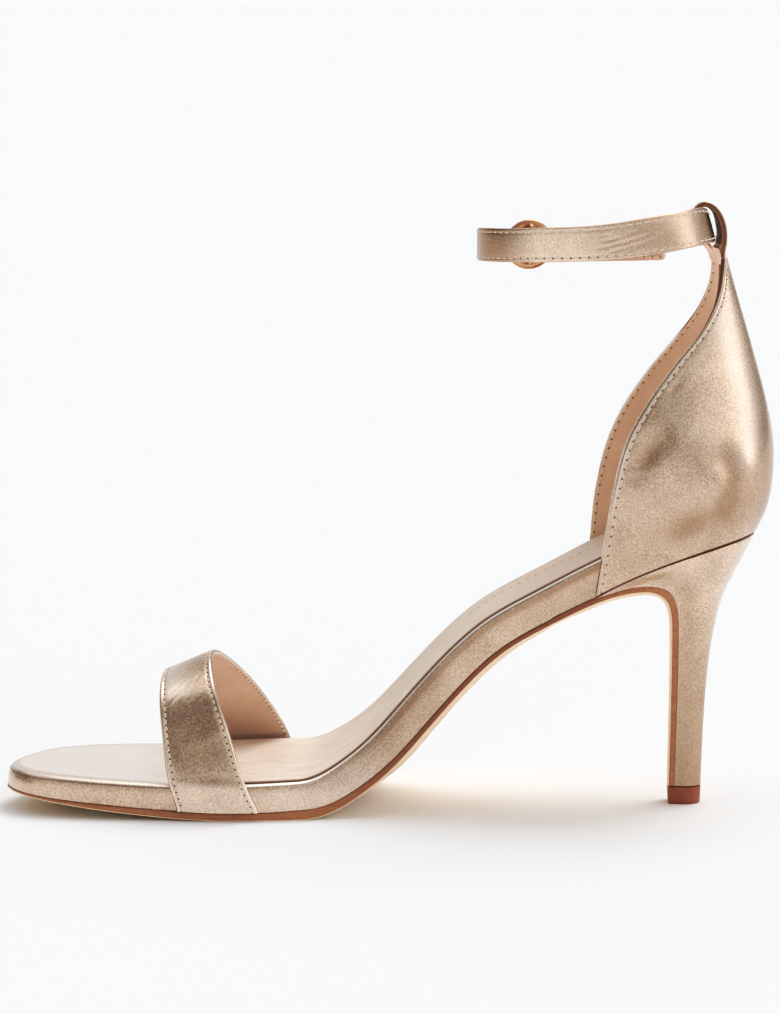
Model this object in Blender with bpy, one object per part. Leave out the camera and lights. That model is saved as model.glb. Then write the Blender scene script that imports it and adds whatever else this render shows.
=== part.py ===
"""A right ankle strap sandal on a stiletto heel, built from ten separate pieces.

The toe points to -X, the inner side of the foot to -Y and up is +Z.
Tables and sizes are in millimetres; MM turns them into metres when a mesh is made.
"""

import bmesh
import bpy
import numpy as np

MM = 0.001
GAP = 0.3  # clearance between pieces that touch

# Feather line: where the footbed meets the outsole, seen from the side.
TREAD_FRONT = -48.0
TREAD_REAR = -26.0
TOE_TIP = -110.5
HEEL_END = 103.2
FEATHER_FLAT = 2.95
TOE_SPRING = 4.3
SPRING_POWER = 1.3
SLOPE_STEP = 0.05

# Footbed and sock.
FOOTBED_EDGE = 2.2
SOCK_THICK = 1.0
SOCK_GAP = 0.6
SOCK_INSET = 2.0
SOCK_FRONT_MEDIAL = -55.0
SOCK_FRONT_LATERAL = -50.0

# Outsole.
SOLE_MARGIN = 0.9  # how far it stands out past the footbed
SOLE_LIP_X = 46.0  # the heel's wing starts behind this
WAIST_GAP = 0.5  # clearance over the outsole where the waist curves both ways
WAIST_START = (-25.0, -18.0)
LEAD_STEP = 10.0  # spacing of the rows that lead the waist into the heel's wing

# Upper.
VAMP_THICK = 1.6
VAMP_HUG = 1.0  # the toe band lies on the footbed's wall up to this far over its top
COUNTER_WALL = 2.0
CUP_MIDDLE = (80.0, 0.0, 0.0)
FULL_WRAP = 90.0  # degrees that a heel section turns from its back to its straight sides
BEND_SHARE = 0.45  # share of a section's points that lie on that turn
LOOP_HALF_WIDTH = 6.0
LOOP_EDGE = 0.35  # rounding of the loop's side edges
LOOP_TWIST = -0.14
STRAP_THICK = 1.8
STRAP_BEVEL = 0.35
CHAPE_LENGTH = 10.5
CHAPE_THICK = 1.6
CHAPE_STEP = 1.5  # length over which the folded end thins out

# Heel tip.
TIP_TOP = 5.1
TIP_TAPER = 0.25

# Buckle: ring centre, and the direction of the strap through it.
BUCKLE_CENTRE = (40.4, 27.8, 160.0)
BUCKLE_ALONG = (0.985, 0.172)
RING_RADIUS = 6.1
RING_RADIAL = 1.15
RING_DEPTH = 0.8
BAR_RADIUS = 0.8
PRONG_RADIUS = 0.6
STRAP_OUT = -1.95  # tail under the ring
CHAPE_OUT = -4.1  # buckle end of the strap, inside the tail
BAR_OUT = STRAP_OUT - STRAP_THICK / 2 - GAP - BAR_RADIUS

# How finely each piece is divided.
OUTLINE_POINTS = 400
FOOTBED_ROWS = 46
SOCK_ROWS = 34
OUTSOLE_ROWS = 42
BREAST_ROWS = 30
SOLE_ACROSS = 8
HEEL_ROUND = 27
CUP_ROWS = 20
CUP_ROUND = 29
LOOP_POINTS = 33
VAMP_ROWS = 37
STRAP_ROWS = 109
END_CROWDING = 0.55  # how much the rows crowd towards toe tip and heel end
TOE_CROWDING = 1.5


def table(columns, *rows):
    """Rows of numbers as one array for each named column."""
    return dict(zip(columns.split(), np.array(rows, float).T))


FEATHER = table(
    "x z",
    (TREAD_REAR, FEATHER_FLAT),
    (-17.0, 4.7),
    (-8.4, 9.4),
    (0.6, 16.6),
    (9.4, 26.0),
    (20.8, 38.6),
    (31.2, 48.1),
    (43.2, 55.4),
    (54.2, 61.4),
    (65.2, 67.2),
    (79.5, 73.4),
    (93.0, 77.7),
    (106.0, 80.6),
)

FOOTBED_OUTLINE = table(
    "x medial lateral",
    (-107.5, -17.3, 5.0),
    (-101.5, -23.2, 17.6),
    (-92.0, -26.9, 27.0),
    (-78.0, -29.4, 33.8),
    (-62.0, -30.8, 38.2),
    (-46.0, -31.2, 40.7),
    (-30.0, -30.0, 41.2),
    (-12.0, -26.0, 37.0),
    (8.0, -21.2, 29.8),
    (31.0, -19.0, 24.8),
    (54.0, -20.0, 21.7),
    (76.0, -21.8, 21.8),
    (92.0, -19.4, 18.6),
    (100.5, -11.2, 9.8),
)
TOE_TIP_SIDE = -7.5

FOOTBED_HEIGHT = table(
    "x thick cup crown",
    (-110.5, 5.9, 0.0, 0.0),
    (-84.0, 6.5, 0.0, 0.0),
    (-50.0, 7.3, 0.3, 0.0),
    (-21.0, 8.2, 0.5, 0.0),
    (-10.0, 8.5, 0.8, 2.8),
    (0.0, 8.6, 0.9, 3.9),
    (8.0, 8.7, 1.0, 3.6),
    (16.0, 8.7, 1.1, 3.3),
    (31.0, 8.7, 1.3, 3.5),
    (44.0, 8.7, 1.4, 2.8),
    (52.0, 8.7, 1.4, 1.0),
    (58.0, 8.7, 1.5, 0.0),
    (106.0, 8.4, 1.5, 0.0),
)

# How far the footbed's wall leans back as it rises inside the heel cup.
HEEL_LEAN = table(
    "x lean",
    (58.0, -0.46),
    (76.0, -0.25),
    (92.0, 0.08),
    (104.0, 0.42),
)

OUTSOLE_THICK = table(
    "x thick",
    (-110.5, 0.9),
    (-95.0, 1.5),
    (-80.0, 2.1),
    (-62.0, 2.6),
    (-50.0, 2.65),
    (-22.0, 2.65),
    (-8.0, 2.0),
    (8.0, 1.6),
    (60.0, 1.4),
)

# Lower face of the outsole behind the lip: under the heel's wing, round the bend, down the heel.
BREAST = table(
    "x z half thick bulge",
    (57.4, 60.45, 21.2, 1.4, 3.0),
    (64.5, 63.1, 21.5, 1.3, 2.9),
    (71.0, 64.2, 20.4, 1.3, 2.8),
    (75.9, 63.6, 17.6, 1.4, 2.3),
    (79.2, 61.0, 13.6, 1.6, 1.4),
    (80.8, 56.4, 9.8, 1.8, 0.5),
    (81.2, 50.0, 7.2, 1.8, 0.0),
    (81.2, 41.0, 5.6, 1.8, 0.0),
    (81.0, 26.0, 4.7, 1.7, 0.0),
    (80.6, TIP_TOP + GAP, 4.2, 1.6, 0.0),
)

# Sections of the heel from the tip up to the seat, each from the breast to the back.
HEEL = table(
    "front_x front_z back_x back_z widest front reach arch",
    (82.5, 5.4, 90.3, 5.4, 4.7, 4.1, 0.55, 0.0),
    (83.05, 26.0, 91.1, 26.0, 4.9, 4.6, 0.55, 0.0),
    (83.35, 41.0, 92.3, 41.0, 5.9, 5.5, 0.55, 0.0),
    (83.35, 50.0, 93.8, 51.0, 7.7, 7.1, 0.55, 0.0),
    (83.05, 57.1, 96.1, 60.2, 11.2, 9.8, 0.55, 0.2),
    (81.3, 62.6, 99.1, 66.9, 15.4, 13.7, 0.55, 0.6),
    (77.3, 65.6, 101.9, 72.4, 19.4, 17.7, 0.55, 1.2),
    (71.5, 66.15, 103.8, 76.3, 22.6, 20.5, 0.55, 1.8),
    (64.7, 65.05, 105.1, 78.8, 24.4, 22.8, 0.55, 2.2),
    (58.9, 63.4, 105.6, 79.75, 24.9, 24.0, 0.55, 2.4),
)

# Sections of the heel cup from the seat up to the neck: outer face, front edge to back.
COUNTER = table(
    "front_x front_z back_x back_z widest front reach arch wrap twist",
    (58.9, 63.8, 105.7, 80.1, 24.9, 24.0, 0.55, 2.4, 90.0, -0.01),
    (59.7, 74.0, 108.5, 86.4, 25.7, 24.7, 0.55, 1.6, 90.0, -0.04),
    (61.1, 86.0, 110.0, 93.0, 26.1, 25.1, 0.56, 0.8, 90.0, -0.055),
    (63.6, 99.0, 110.6, 101.5, 25.7, 24.9, 0.60, 0.2, 90.0, -0.05),
    (67.6, 110.5, 109.8, 111.0, 24.2, 23.9, 0.75, 0.0, 90.0, -0.04),
    (74.1, 121.4, 107.5, 121.4, 21.4, 21.4, 0.95, 0.0, 88.0, -0.045),
    (81.2, 130.8, 104.9, 130.8, 17.8, 17.8, 1.0, 0.0, 84.0, -0.06),
    (87.8, 139.0, 102.5, 139.0, 13.4, 13.4, 1.0, 0.0, 76.0, -0.11),
    (92.1, 146.2, 100.3, 146.2, 9.6, 9.6, 1.0, 0.0, 66.0, -0.15),
    (94.3, 152.6, 98.5, 152.6, 7.3, 7.3, 1.0, 0.0, 54.0, LOOP_TWIST),
    (95.2, 159.0, 96.7, 159.0, 6.2, 6.2, 1.0, 0.0, 40.0, LOOP_TWIST),
)

# Side view of the loop that the neck folds into: outer face, then the hole for the strap.
LOOP_OUTER = table(
    "x z",
    (97.5, 155.4),
    (96.4, 160.0),
    (96.6, 164.9),
    (95.7, 170.1),
    (94.0, 172.9),
    (91.8, 174.6),
    (89.8, 175.0),
    (87.9, 174.2),
    (86.6, 172.4),
    (86.2, 170.0),
    (86.8, 166.4),
    (88.7, 163.0),
    (91.2, 160.2),
    (94.0, 157.6),
    (95.8, 155.0),
)
LOOP_HOLE = table(
    "x z",
    (94.4, 161.8),
    (94.8, 164.4),
    (94.7, 167.2),
    (93.8, 170.1),
    (92.4, 172.5),
    (90.8, 173.4),
    (89.3, 173.2),
    (88.2, 172.0),
    (87.9, 169.8),
    (88.5, 166.8),
    (90.2, 163.9),
    (92.5, 161.7),
)

# Toe band from the inner side over the toes to the outer side: front and rear edge of its outer face.
VAMP = table(
    "front_x front_y front_z rear_x rear_y rear_z",
    (-60.8, -32.8, 4.0, -37.4, -32.6, 3.2),
    (-62.4, -32.7, 11.5, -40.2, -32.6, 10.5),
    (-64.2, -31.0, 24.2, -44.7, -31.2, 24.6),
    (-64.9, -25.2, 34.0, -48.2, -26.0, 35.6),
    (-64.8, -16.0, 39.0, -49.9, -16.8, 42.8),
    (-64.0, -5.0, 40.0, -49.8, -5.2, 45.4),
    (-61.6, 8.5, 37.4, -46.4, 9.4, 41.2),
    (-58.0, 21.5, 30.6, -40.6, 23.4, 32.4),
    (-54.4, 33.0, 20.8, -34.4, 35.2, 21.6),
    (-51.6, 41.4, 10.8, -29.8, 42.8, 10.8),
    (-50.6, 42.2, 3.4, -27.6, 43.0, 3.2),
)

# Ankle strap, middle of the band: from the buckle round the back, the inner side and the front.
STRAP_ROUND = table(
    "x y z lean width",
    (63.0, 25.6, 160.4, 6.0, 9.2),
    (72.6, 23.6, 161.8, 8.0, 9.4),
    (81.6, 18.4, 164.2, 11.0, 9.6),
    (87.7, 11.4, 166.3, 14.0, 9.6),
    (90.9, 5.2, 167.3, 16.0, 9.4),
    (92.0, -1.0, 167.7, 16.0, 9.4),
    (91.8, -6.5, 167.9, 15.0, 9.8),
    (89.6, -13.0, 168.3, 13.0, 10.8),
    (84.6, -19.6, 168.4, 10.0, 11.1),
    (76.3, -25.0, 167.6, 7.0, 11.0),
    (66.0, -27.7, 166.3, 5.0, 10.4),
    (54.5, -27.7, 165.3, 4.0, 10.0),
    (43.4, -25.4, 164.8, 3.0, 9.8),
    (34.2, -19.0, 164.1, 2.0, 9.6),
    (28.2, -10.8, 163.5, 0.0, 9.5),
    (26.0, -1.0, 162.7, 0.0, 9.4),
    (27.0, 9.0, 161.7, 1.0, 9.2),
    (30.4, 17.6, 160.8, 2.0, 9.0),
)
# Places along and out from the ring's centre, before and after the round.
STRAP_CHAPE = table(
    "along out up lean width",
    (1.5, CHAPE_OUT, -0.1, 0.0, 8.6),
    (6.5, CHAPE_OUT, -0.3, 0.0, 8.6),
    (12.5, CHAPE_OUT - 0.1, -0.3, 2.0, 8.8),
)
STRAP_TAIL = table(
    "along out up lean width",
    (-7.5, STRAP_OUT - 0.6, 0.1, 0.0, 8.9),
    (-3.5, STRAP_OUT - 0.1, 0.0, 0.0, 8.8),
    (1.0, STRAP_OUT, -0.1, 0.0, 8.8),
    (6.5, STRAP_OUT - 0.1, -0.3, 0.0, 8.8),
    (12.5, STRAP_OUT - 0.5, -0.5, 2.0, 8.8),
    (22.5, -3.4, -0.5, 4.0, 8.8),
    (32.5, -6.6, -0.2, 6.0, 8.8),
    (38.0, -9.8, 0.1, 7.0, 8.6),
)

# Bar of the buckle, bowed inward round the strap, and the prong from the bar to the ring.
BUCKLE_BAR = table(
    "out up",
    (0.0, 6.1),
    (-1.8, 6.4),
    (-3.3, 6.0),
    (BAR_OUT, 4.6),
    (BAR_OUT, -4.6),
    (-3.3, -6.0),
    (-1.8, -6.4),
    (0.0, -6.1),
)
BUCKLE_PRONG = table(
    "along out",
    (0.6, -0.1),
    (-1.6, 0.2),
    (-4.2, 1.6),
    (-5.6, 1.85),
    (-7.3, 1.75),
)

COLOURS = {
    "outsole": (0.27, 0.11, 0.05, 0.55, 0.0),
    "footbed": (0.62, 0.45, 0.31, 0.35, 0.6),
    "sock": (0.80, 0.68, 0.57, 0.6, 0.0),
    "heel": (0.60, 0.43, 0.30, 0.32, 0.6),
    "heel_tip": (0.18, 0.05, 0.025, 0.55, 0.0),
    "vamp_strap": (0.62, 0.45, 0.32, 0.35, 0.6),
    "heel_counter": (0.60, 0.43, 0.29, 0.35, 0.6),
    "ankle_strap": (0.60, 0.44, 0.30, 0.35, 0.6),
    "buckle_frame": (0.62, 0.32, 0.17, 0.25, 1.0),
    "buckle_prong": (0.62, 0.32, 0.17, 0.25, 1.0),
}


def spline(xs, ys, at, start_slope=None):
    """Cubic spline through the points (xs, ys); ys may have several columns."""
    xs = np.asarray(xs, float)
    ys = np.asarray(ys, float).reshape(len(xs), -1)
    at = np.asarray(at, float)
    count = len(xs)
    step = np.diff(xs)
    rise = np.diff(ys, axis=0) / step[:, None]
    system = np.eye(count)
    right = np.zeros_like(ys)
    for i in range(1, count - 1):
        system[i, i - 1 : i + 2] = step[i - 1], 2 * (step[i - 1] + step[i]), step[i]
        right[i] = 6 * (rise[i] - rise[i - 1])
    if start_slope is not None:
        system[0, :2] = 2 * step[0], step[0]
        right[0] = 6 * (rise[0] - start_slope)
    bend = np.linalg.solve(system, right)
    i = np.clip(np.searchsorted(xs, at.ravel(), side="right") - 1, 0, count - 2)
    t = (at.ravel() - xs[i])[:, None]
    h = step[i][:, None]
    slope = rise[i] - h * (2 * bend[i] + bend[i + 1]) / 6
    value = ys[i] + t * slope + t**2 * bend[i] / 2 + t**3 * (bend[i + 1] - bend[i]) / (6 * h)
    return value[:, 0].reshape(at.shape) if ys.shape[1] == 1 else value


def through(points, count):
    """A curve of evenly spaced points through the given ones."""
    points = np.asarray(points, float)
    far = np.concatenate([[0], np.cumsum(np.linalg.norm(np.diff(points[:, :3], axis=0), axis=1))])
    return spline(far, points, np.linspace(0, far[-1], count))


def unit(vectors):
    return vectors / np.linalg.norm(vectors, axis=-1, keepdims=True)


def columns(rows, names):
    return np.stack([rows[name] for name in names.split()], axis=-1)


def feather(x):
    """Height of the feather line: toe spring, flat tread, then the rising waist and seat."""
    x = np.asarray(x, float)
    ahead = np.clip((TREAD_FRONT - x) / (TREAD_FRONT - TOE_TIP), 0, None)
    front = FEATHER_FLAT + TOE_SPRING * ahead**SPRING_POWER
    waist = spline(FEATHER["x"], FEATHER["z"], x, start_slope=0.0)
    return np.where(x < TREAD_REAR, front, waist)


def place(x, y, height):
    """The point that stands this high over the feather line, square to it or leaning with the cup."""
    slope = (feather(x + SLOPE_STEP) - feather(x - SLOPE_STEP)) / (2 * SLOPE_STEP)
    lean = np.where(x < HEEL_LEAN["x"][0], -slope, np.interp(x, HEEL_LEAN["x"], HEEL_LEAN["lean"]))
    length = np.sqrt(1 + lean**2)
    return np.stack([x + height * lean / length, y, feather(x) + height / length], axis=-1)


def outline_halves(rows):
    """Inner and outer half of the footbed's outline, toe tip to heel end, with inward normals."""
    tip = [[TOE_TIP, TOE_TIP_SIDE]]
    end = [[HEEL_END, 0.0]]
    inner = columns(FOOTBED_OUTLINE, "x medial")
    outer = columns(FOOTBED_OUTLINE, "x lateral")
    loop = np.concatenate([tip, inner, end, outer[::-1]])
    count = len(loop)
    turns = np.concatenate([loop, loop, loop, loop[:1]])
    far = np.concatenate([[0], np.cumsum(np.linalg.norm(np.diff(turns, axis=0), axis=1))])
    start, middle, stop = far[count], far[count + len(inner) + 1], far[2 * count]
    even = np.linspace(0, 1, rows)
    spread = END_CROWDING * (1 - np.cos(np.pi * even)) / 2 + (1 - END_CROWDING) * even
    halves = []
    for first, last, turn in ((start, middle, 1), (stop, middle, -1)):
        at = first + (last - first) * spread
        points = spline(far, turns, at)
        along = turn * (spline(far, turns, at + SLOPE_STEP) - spline(far, turns, at - SLOPE_STEP))
        along = unit(along * np.sign(last - first))
        halves.append((points, np.stack([-along[:, 1], along[:, 0]], axis=-1)))
    return halves


EDGE_SAMPLES = outline_halves(OUTLINE_POINTS)


def edges(x):
    """Inner and outer edge of the footbed at x."""
    return [np.interp(x, points[:, 0], points[:, 1]) for points, _ in EDGE_SAMPLES]


def across(x, y):
    """Place between the edges: -1 at the inner edge, 1 at the outer one."""
    inner, outer = edges(x)
    return np.clip((y - (inner + outer) / 2) / np.maximum((outer - inner) / 2, 1.0), -1, 1)


def height_of(name, x):
    return np.interp(x, FOOTBED_HEIGHT["x"], FOOTBED_HEIGHT[name])


def footbed_top(x, y):
    return height_of("thick", x) - height_of("cup", x) * (1 - across(x, y) ** 2)


def footbed_bottom(x, y):
    return -height_of("crown", x) * (1 - across(x, y) ** 2)


def strip(first, last, count):
    """Points from the first row of points to the last, count of them across."""
    t = np.linspace(0, 1, count)[None, :, None]
    return first[:, None] * (1 - t) + last[:, None] * t


def make_object(name, points, faces):
    mesh = bpy.data.meshes.new(name)
    mesh.from_pydata((points * MM).tolist(), [], faces)
    body = bmesh.new()
    body.from_mesh(mesh)
    bmesh.ops.remove_doubles(body, verts=body.verts, dist=1e-6)
    bmesh.ops.dissolve_degenerate(body, edges=body.edges, dist=1e-6)
    bmesh.ops.recalc_face_normals(body, faces=body.faces)
    body.to_mesh(mesh)
    body.free()
    mesh.polygons.foreach_set("use_smooth", [True] * len(mesh.polygons))
    item = bpy.data.objects.new(name, mesh)
    bpy.context.scene.collection.objects.link(item)
    return item


def loft(name, rings, close_rings=False):
    """A solid through rings of points; its ends are capped unless the last ring meets the first."""
    rings = np.asarray(rings)
    count, around = rings.shape[:2]
    faces = []
    for i in range(count if close_rings else count - 1):
        for j in range(around):
            k = (j + 1) % around
            after = (i + 1) % count
            faces.append((i * around + j, i * around + k, after * around + k, after * around + j))
    if not close_rings:
        for first in (0, (count - 1) * around):
            for j in range((around - 1) // 2):
                k = around - 1 - j
                faces.append((first + j, first + j + 1, first + k - 1, first + k))
    return make_object(name, rings.reshape(-1, 3), faces)


def build_footbed():
    """Wrapped insole: crowned underside, upright wall, rounded top edge and cupped top."""
    (inner, inner_in), (outer, outer_in) = outline_halves(FOOTBED_ROWS)
    turn = np.radians((0, 30, 60, 90))
    insets = FOOTBED_EDGE * (1 - np.cos(turn))
    drops = FOOTBED_EDGE * (1 - np.sin(turn))
    sides = []
    for points, normal in ((inner, inner_in), (outer, outer_in)):
        wall = [place(points[:, 0], points[:, 1], np.zeros(len(points)))]
        for inset, drop in zip(insets, drops):
            plan = points + inset * normal
            top = footbed_top(plan[:, 0], plan[:, 1])
            wall.append(place(plan[:, 0], plan[:, 1], top - drop))
        sides.append(np.stack(wall, axis=1))
    top_plan = strip(inner + FOOTBED_EDGE * inner_in, outer + FOOTBED_EDGE * outer_in, 6)[:, 1:-1]
    low_plan = strip(outer, inner, SOLE_ACROSS)[:, 1:-1]
    top = place(top_plan[..., 0], top_plan[..., 1], footbed_top(top_plan[..., 0], top_plan[..., 1]))
    low = place(low_plan[..., 0], low_plan[..., 1], footbed_bottom(low_plan[..., 0], low_plan[..., 1]))
    return loft("footbed", np.concatenate([sides[0], top, sides[1][:, ::-1], low], axis=1))


def build_sock():
    """Insole lining: a sheet on the footbed, cut straight under the toe band."""
    (inner, inner_in), (outer, outer_in) = EDGE_SAMPLES
    inner = inner + SOCK_INSET * inner_in
    outer = outer + SOCK_INSET * outer_in
    spread = np.sin(np.linspace(0, np.pi / 2, SOCK_ROWS))
    plan = []
    for points, front in ((inner, SOCK_FRONT_MEDIAL), (outer, SOCK_FRONT_LATERAL)):
        index = np.arange(len(points))
        start = np.interp(front, points[:, 0], index)
        at = start + (index[-1] - start) * spread
        plan.append(np.stack([np.interp(at, index, points[:, i]) for i in (0, 1)], axis=-1))
    sheet = strip(plan[0], plan[1], 7)
    base = footbed_top(sheet[..., 0], sheet[..., 1]) + SOCK_GAP
    under = place(sheet[..., 0], sheet[..., 1], base)
    over = place(sheet[..., 0], sheet[..., 1], base + SOCK_THICK)
    return loft("sock", np.concatenate([over, under[:, ::-1]], axis=1))


def build_outsole():
    """One sheet: under the footbed to the lip, then round under the heel's wing and down its breast."""
    front = TOE_TIP - SOLE_MARGIN
    x = front + (SOLE_LIP_X - front) * np.linspace(0, 1, OUTSOLE_ROWS) ** TOE_CROWDING
    sides = []
    for points, normal in EDGE_SAMPLES:
        grown = points - SOLE_MARGIN * normal
        sides.append(np.interp(x, grown[:, 0], grown[:, 1]))
    plan = strip(np.stack([x, sides[0]], axis=-1), np.stack([x, sides[1]], axis=-1), SOLE_ACROSS)
    px, py = plan[..., 0], plan[..., 1]
    thick = np.interp(px, OUTSOLE_THICK["x"], OUTSOLE_THICK["thick"])
    top = footbed_bottom(px, py) - np.interp(px, WAIST_START, (GAP, WAIST_GAP))
    over = place(px, py, top)
    under = place(px, py, top - thick)

    lead = SOLE_LIP_X - LEAD_STEP * np.array([2, 1, 0])
    lead_thick = np.interp(lead, OUTSOLE_THICK["x"], OUTSOLE_THICK["thick"])
    lead_low = place(lead, 0 * lead, -WAIST_GAP - lead_thick)
    lead_half = [np.interp(lead, x, side) for side in sides]
    rows = [
        np.concatenate([lead_low[:, 0], BREAST["x"]]),
        np.concatenate([lead_low[:, 2], BREAST["z"]]),
        np.concatenate([lead_half[0], -BREAST["half"]]),
        np.concatenate([lead_half[1], BREAST["half"]]),
        np.concatenate([lead_thick, BREAST["thick"]]),
        np.concatenate([height_of("crown", lead), BREAST["bulge"]]),
    ]
    path = np.stack(rows, axis=-1)
    far = np.concatenate([[0], np.cumsum(np.linalg.norm(np.diff(path[:, :2], axis=0), axis=1))])
    at = far[2] + (far[-1] - far[2]) * np.linspace(0, 1, BREAST_ROWS)[1:]
    line = spline(far, path, at)
    along = unit(spline(far, path[:, :2], at + SLOPE_STEP) - spline(far, path[:, :2], at - SLOPE_STEP))
    side = np.linspace(0, 1, SOLE_ACROSS)
    y = line[:, 2:3] * (1 - side) + line[:, 3:4] * side
    round_off = (1 - (2 * side - 1) ** 2)[None, :, None]
    rise = np.stack([-along[:, 1], 0 * along[:, 0], along[:, 0]], axis=-1)[:, None]
    edge = np.stack([line[:, :1] + 0 * y, y, line[:, 1:2] + 0 * y], axis=-1)
    low = edge - rise * line[:, 5, None, None] * round_off
    high = edge + rise * (line[:, 4, None, None] - height_of("crown", line[:, 0, None, None]) * round_off)
    return loft(
        "outsole",
        np.concatenate(
            [np.concatenate([over, under[:, ::-1]], axis=1), np.concatenate([high, low[:, ::-1]], axis=1)]
        ),
    )


def round_back(rows, at, around):
    """Sections of a rounded heel end at fractions of the rows; around is -1 and 1 at the front edges."""
    names = "front_x front_z back_x back_z widest front reach arch"
    index = np.arange(len(rows["front_x"]))
    values = spline(index, columns(rows, names), at * index[-1])
    wrap = np.interp(at * index[-1], index, rows["wrap"]) if "wrap" in rows else np.full(len(at), FULL_WRAP)
    twist = np.interp(at * index[-1], index, rows["twist"]) if "twist" in rows else np.zeros(len(at))
    front_x, front_z, back_x, back_z, widest, front, reach, arch = values.T[..., None]
    wrap = np.radians(wrap)[:, None]
    reach = np.minimum(reach, 1.0)
    bend_share = BEND_SHARE + (1 - BEND_SHARE) * reach**3
    t = np.abs(around)[None, :]
    bend = np.minimum(t / bend_share, 1.0) * wrap
    rest = np.clip((t - bend_share) / np.maximum(1 - bend_share, 1e-6), 0, 1)
    forward = reach * (1 - np.cos(bend)) / (1 - np.cos(wrap)) + (1 - reach) * rest
    half = widest * np.sin(bend) / np.sin(wrap) + (front - widest) * rest**2 * (3 - 2 * rest)
    y = half * np.sign(around)[None, :]
    x = back_x + (front_x - back_x) * forward + twist[:, None] * y
    z = back_z + (front_z - back_z) * forward + 4 * arch * forward * (1 - forward)
    return np.stack([x, y, z], axis=-1)


def build_heel():
    """Stiletto heel: sections from the tip to the slanted seat."""
    at = np.concatenate([np.linspace(0, 0.3, 4)[:-1], np.linspace(0.3, 1, 15)])
    return loft("heel", round_back(HEEL, at, np.linspace(-1, 1, HEEL_ROUND)))


def build_heel_tip():
    """Top piece: the foot of the heel and of the outsole's flap, carried down to the floor."""
    foot = round_back(HEEL, np.zeros(1), np.linspace(-1, 1, HEEL_ROUND))[0]
    foot[:, 0] = np.where(foot[:, 0] < HEEL["front_x"][0] + GAP, BREAST["x"][-1], foot[:, 0])
    middle = (foot.max(axis=0) + foot.min(axis=0)) / 2
    rings = []
    for z, taper in ((0.0, TIP_TAPER), (TIP_TOP, 0.0)):
        ring = foot.copy()
        size = (foot.max(axis=0) - foot.min(axis=0)) / 2
        share = 1 - taper / size[:2]
        ring[:, :2] = middle[:2] + (foot[:, :2] - middle[:2]) * share
        ring[:, 2] = z
        rings.append(ring)
    return loft("heel_tip", rings)


def seat_height(x):
    """Height of the heel cup's lower edge, seen from the side."""
    foot = {name: column[0] for name, column in COUNTER.items()}
    forward = (x - foot["back_x"]) / (foot["front_x"] - foot["back_x"])
    rise = 4 * foot["arch"] * forward * (1 - forward)
    return foot["back_z"] + (foot["front_z"] - foot["back_z"]) * forward + rise


def build_counter():
    """Hollow heel cup, open in front and above, and the loop that its neck folds into."""
    at = np.linspace(0, 1, CUP_ROWS)
    around = np.linspace(-1, 1, CUP_ROUND)
    outer = round_back(COUNTER, at, around)
    along = unit(np.gradient(outer, axis=1))
    up = unit(np.gradient(outer, axis=0))
    inward = unit(np.cross(up, along))
    inward *= np.sign(np.sum(inward * (np.array(CUP_MIDDLE) - outer) * [1, 1, 0], axis=-1))[..., None]
    inner = outer + COUNTER_WALL * inward
    inner[0, :, 2] = seat_height(inner[0, :, 0])
    cup = loft("heel_counter", np.concatenate([outer, inner[:, ::-1]], axis=1))

    flat = LOOP_HALF_WIDTH - LOOP_EDGE
    sides = np.array([-LOOP_HALF_WIDTH, -flat, flat, LOOP_HALF_WIDTH])
    rounding = (LOOP_EDGE, 0.0, 0.0, LOOP_EDGE)
    outer_line = columns(LOOP_OUTER, "x z")
    hole_line = columns(LOOP_HOLE, "x z")
    outer_line = through(np.concatenate([outer_line, outer_line[:1]]), LOOP_POINTS)[:-1]
    hole_line = through(np.concatenate([hole_line, hole_line[:1]]), LOOP_POINTS)[:-1]
    middle = hole_line.mean(axis=0)
    rings = []
    for y, cut in zip(sides, rounding):
        line = outer_line + cut * unit(middle - outer_line)
        rings.append(np.stack([line[:, 0] + LOOP_TWIST * y, 0 * line[:, 0] + y, line[:, 1]], axis=-1))
    for y, cut in zip(sides[::-1], rounding):
        line = hole_line - cut * unit(middle - hole_line)
        rings.append(np.stack([line[:, 0] + LOOP_TWIST * y, 0 * line[:, 0] + y, line[:, 1]], axis=-1))
    loop = loft("heel_loop", rings, close_rings=True)
    join = cup.modifiers.new("join_loop", "BOOLEAN")
    join.operation = "UNION"
    join.solver = "EXACT"
    join.object = loop
    graph = bpy.context.evaluated_depsgraph_get()
    joined = bpy.data.meshes.new_from_object(cup.evaluated_get(graph))
    cup.modifiers.clear()
    cup.data = joined
    joined.name = "heel_counter"
    bpy.data.objects.remove(loop, do_unlink=True)
    return cup


def build_vamp():
    """Toe band: a sheet between its front and rear edge, hugging the footbed's wall at both ends."""
    front = through(columns(VAMP, "front_x front_y front_z"), VAMP_ROWS)
    rear = through(columns(VAMP, "rear_x rear_y rear_z"), VAMP_ROWS)
    outer = strip(front, rear, 5)
    along = unit(np.gradient(outer, axis=0))
    over = unit(np.gradient(outer, axis=1))
    inner = outer + VAMP_THICK * unit(np.cross(along, over))
    for sheet, clear in ((outer, GAP + VAMP_THICK), (inner, GAP)):
        edge_inner, edge_outer = edges(sheet[..., 0])
        low = sheet[..., 2] < feather(sheet[..., 0]) + height_of("thick", sheet[..., 0]) + VAMP_HUG
        near = low & (sheet[..., 1] < 0)
        far = low & (sheet[..., 1] > 0)
        sheet[..., 1] = np.where(near, np.minimum(sheet[..., 1], edge_inner - clear), sheet[..., 1])
        sheet[..., 1] = np.where(far, np.maximum(sheet[..., 1], edge_outer + clear), sheet[..., 1])
        for end in (0, -1):
            sheet[end, :, 2] = feather(sheet[end, :, 0])
    return loft("vamp_strap", np.concatenate([outer, inner[:, ::-1]], axis=1))


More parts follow.
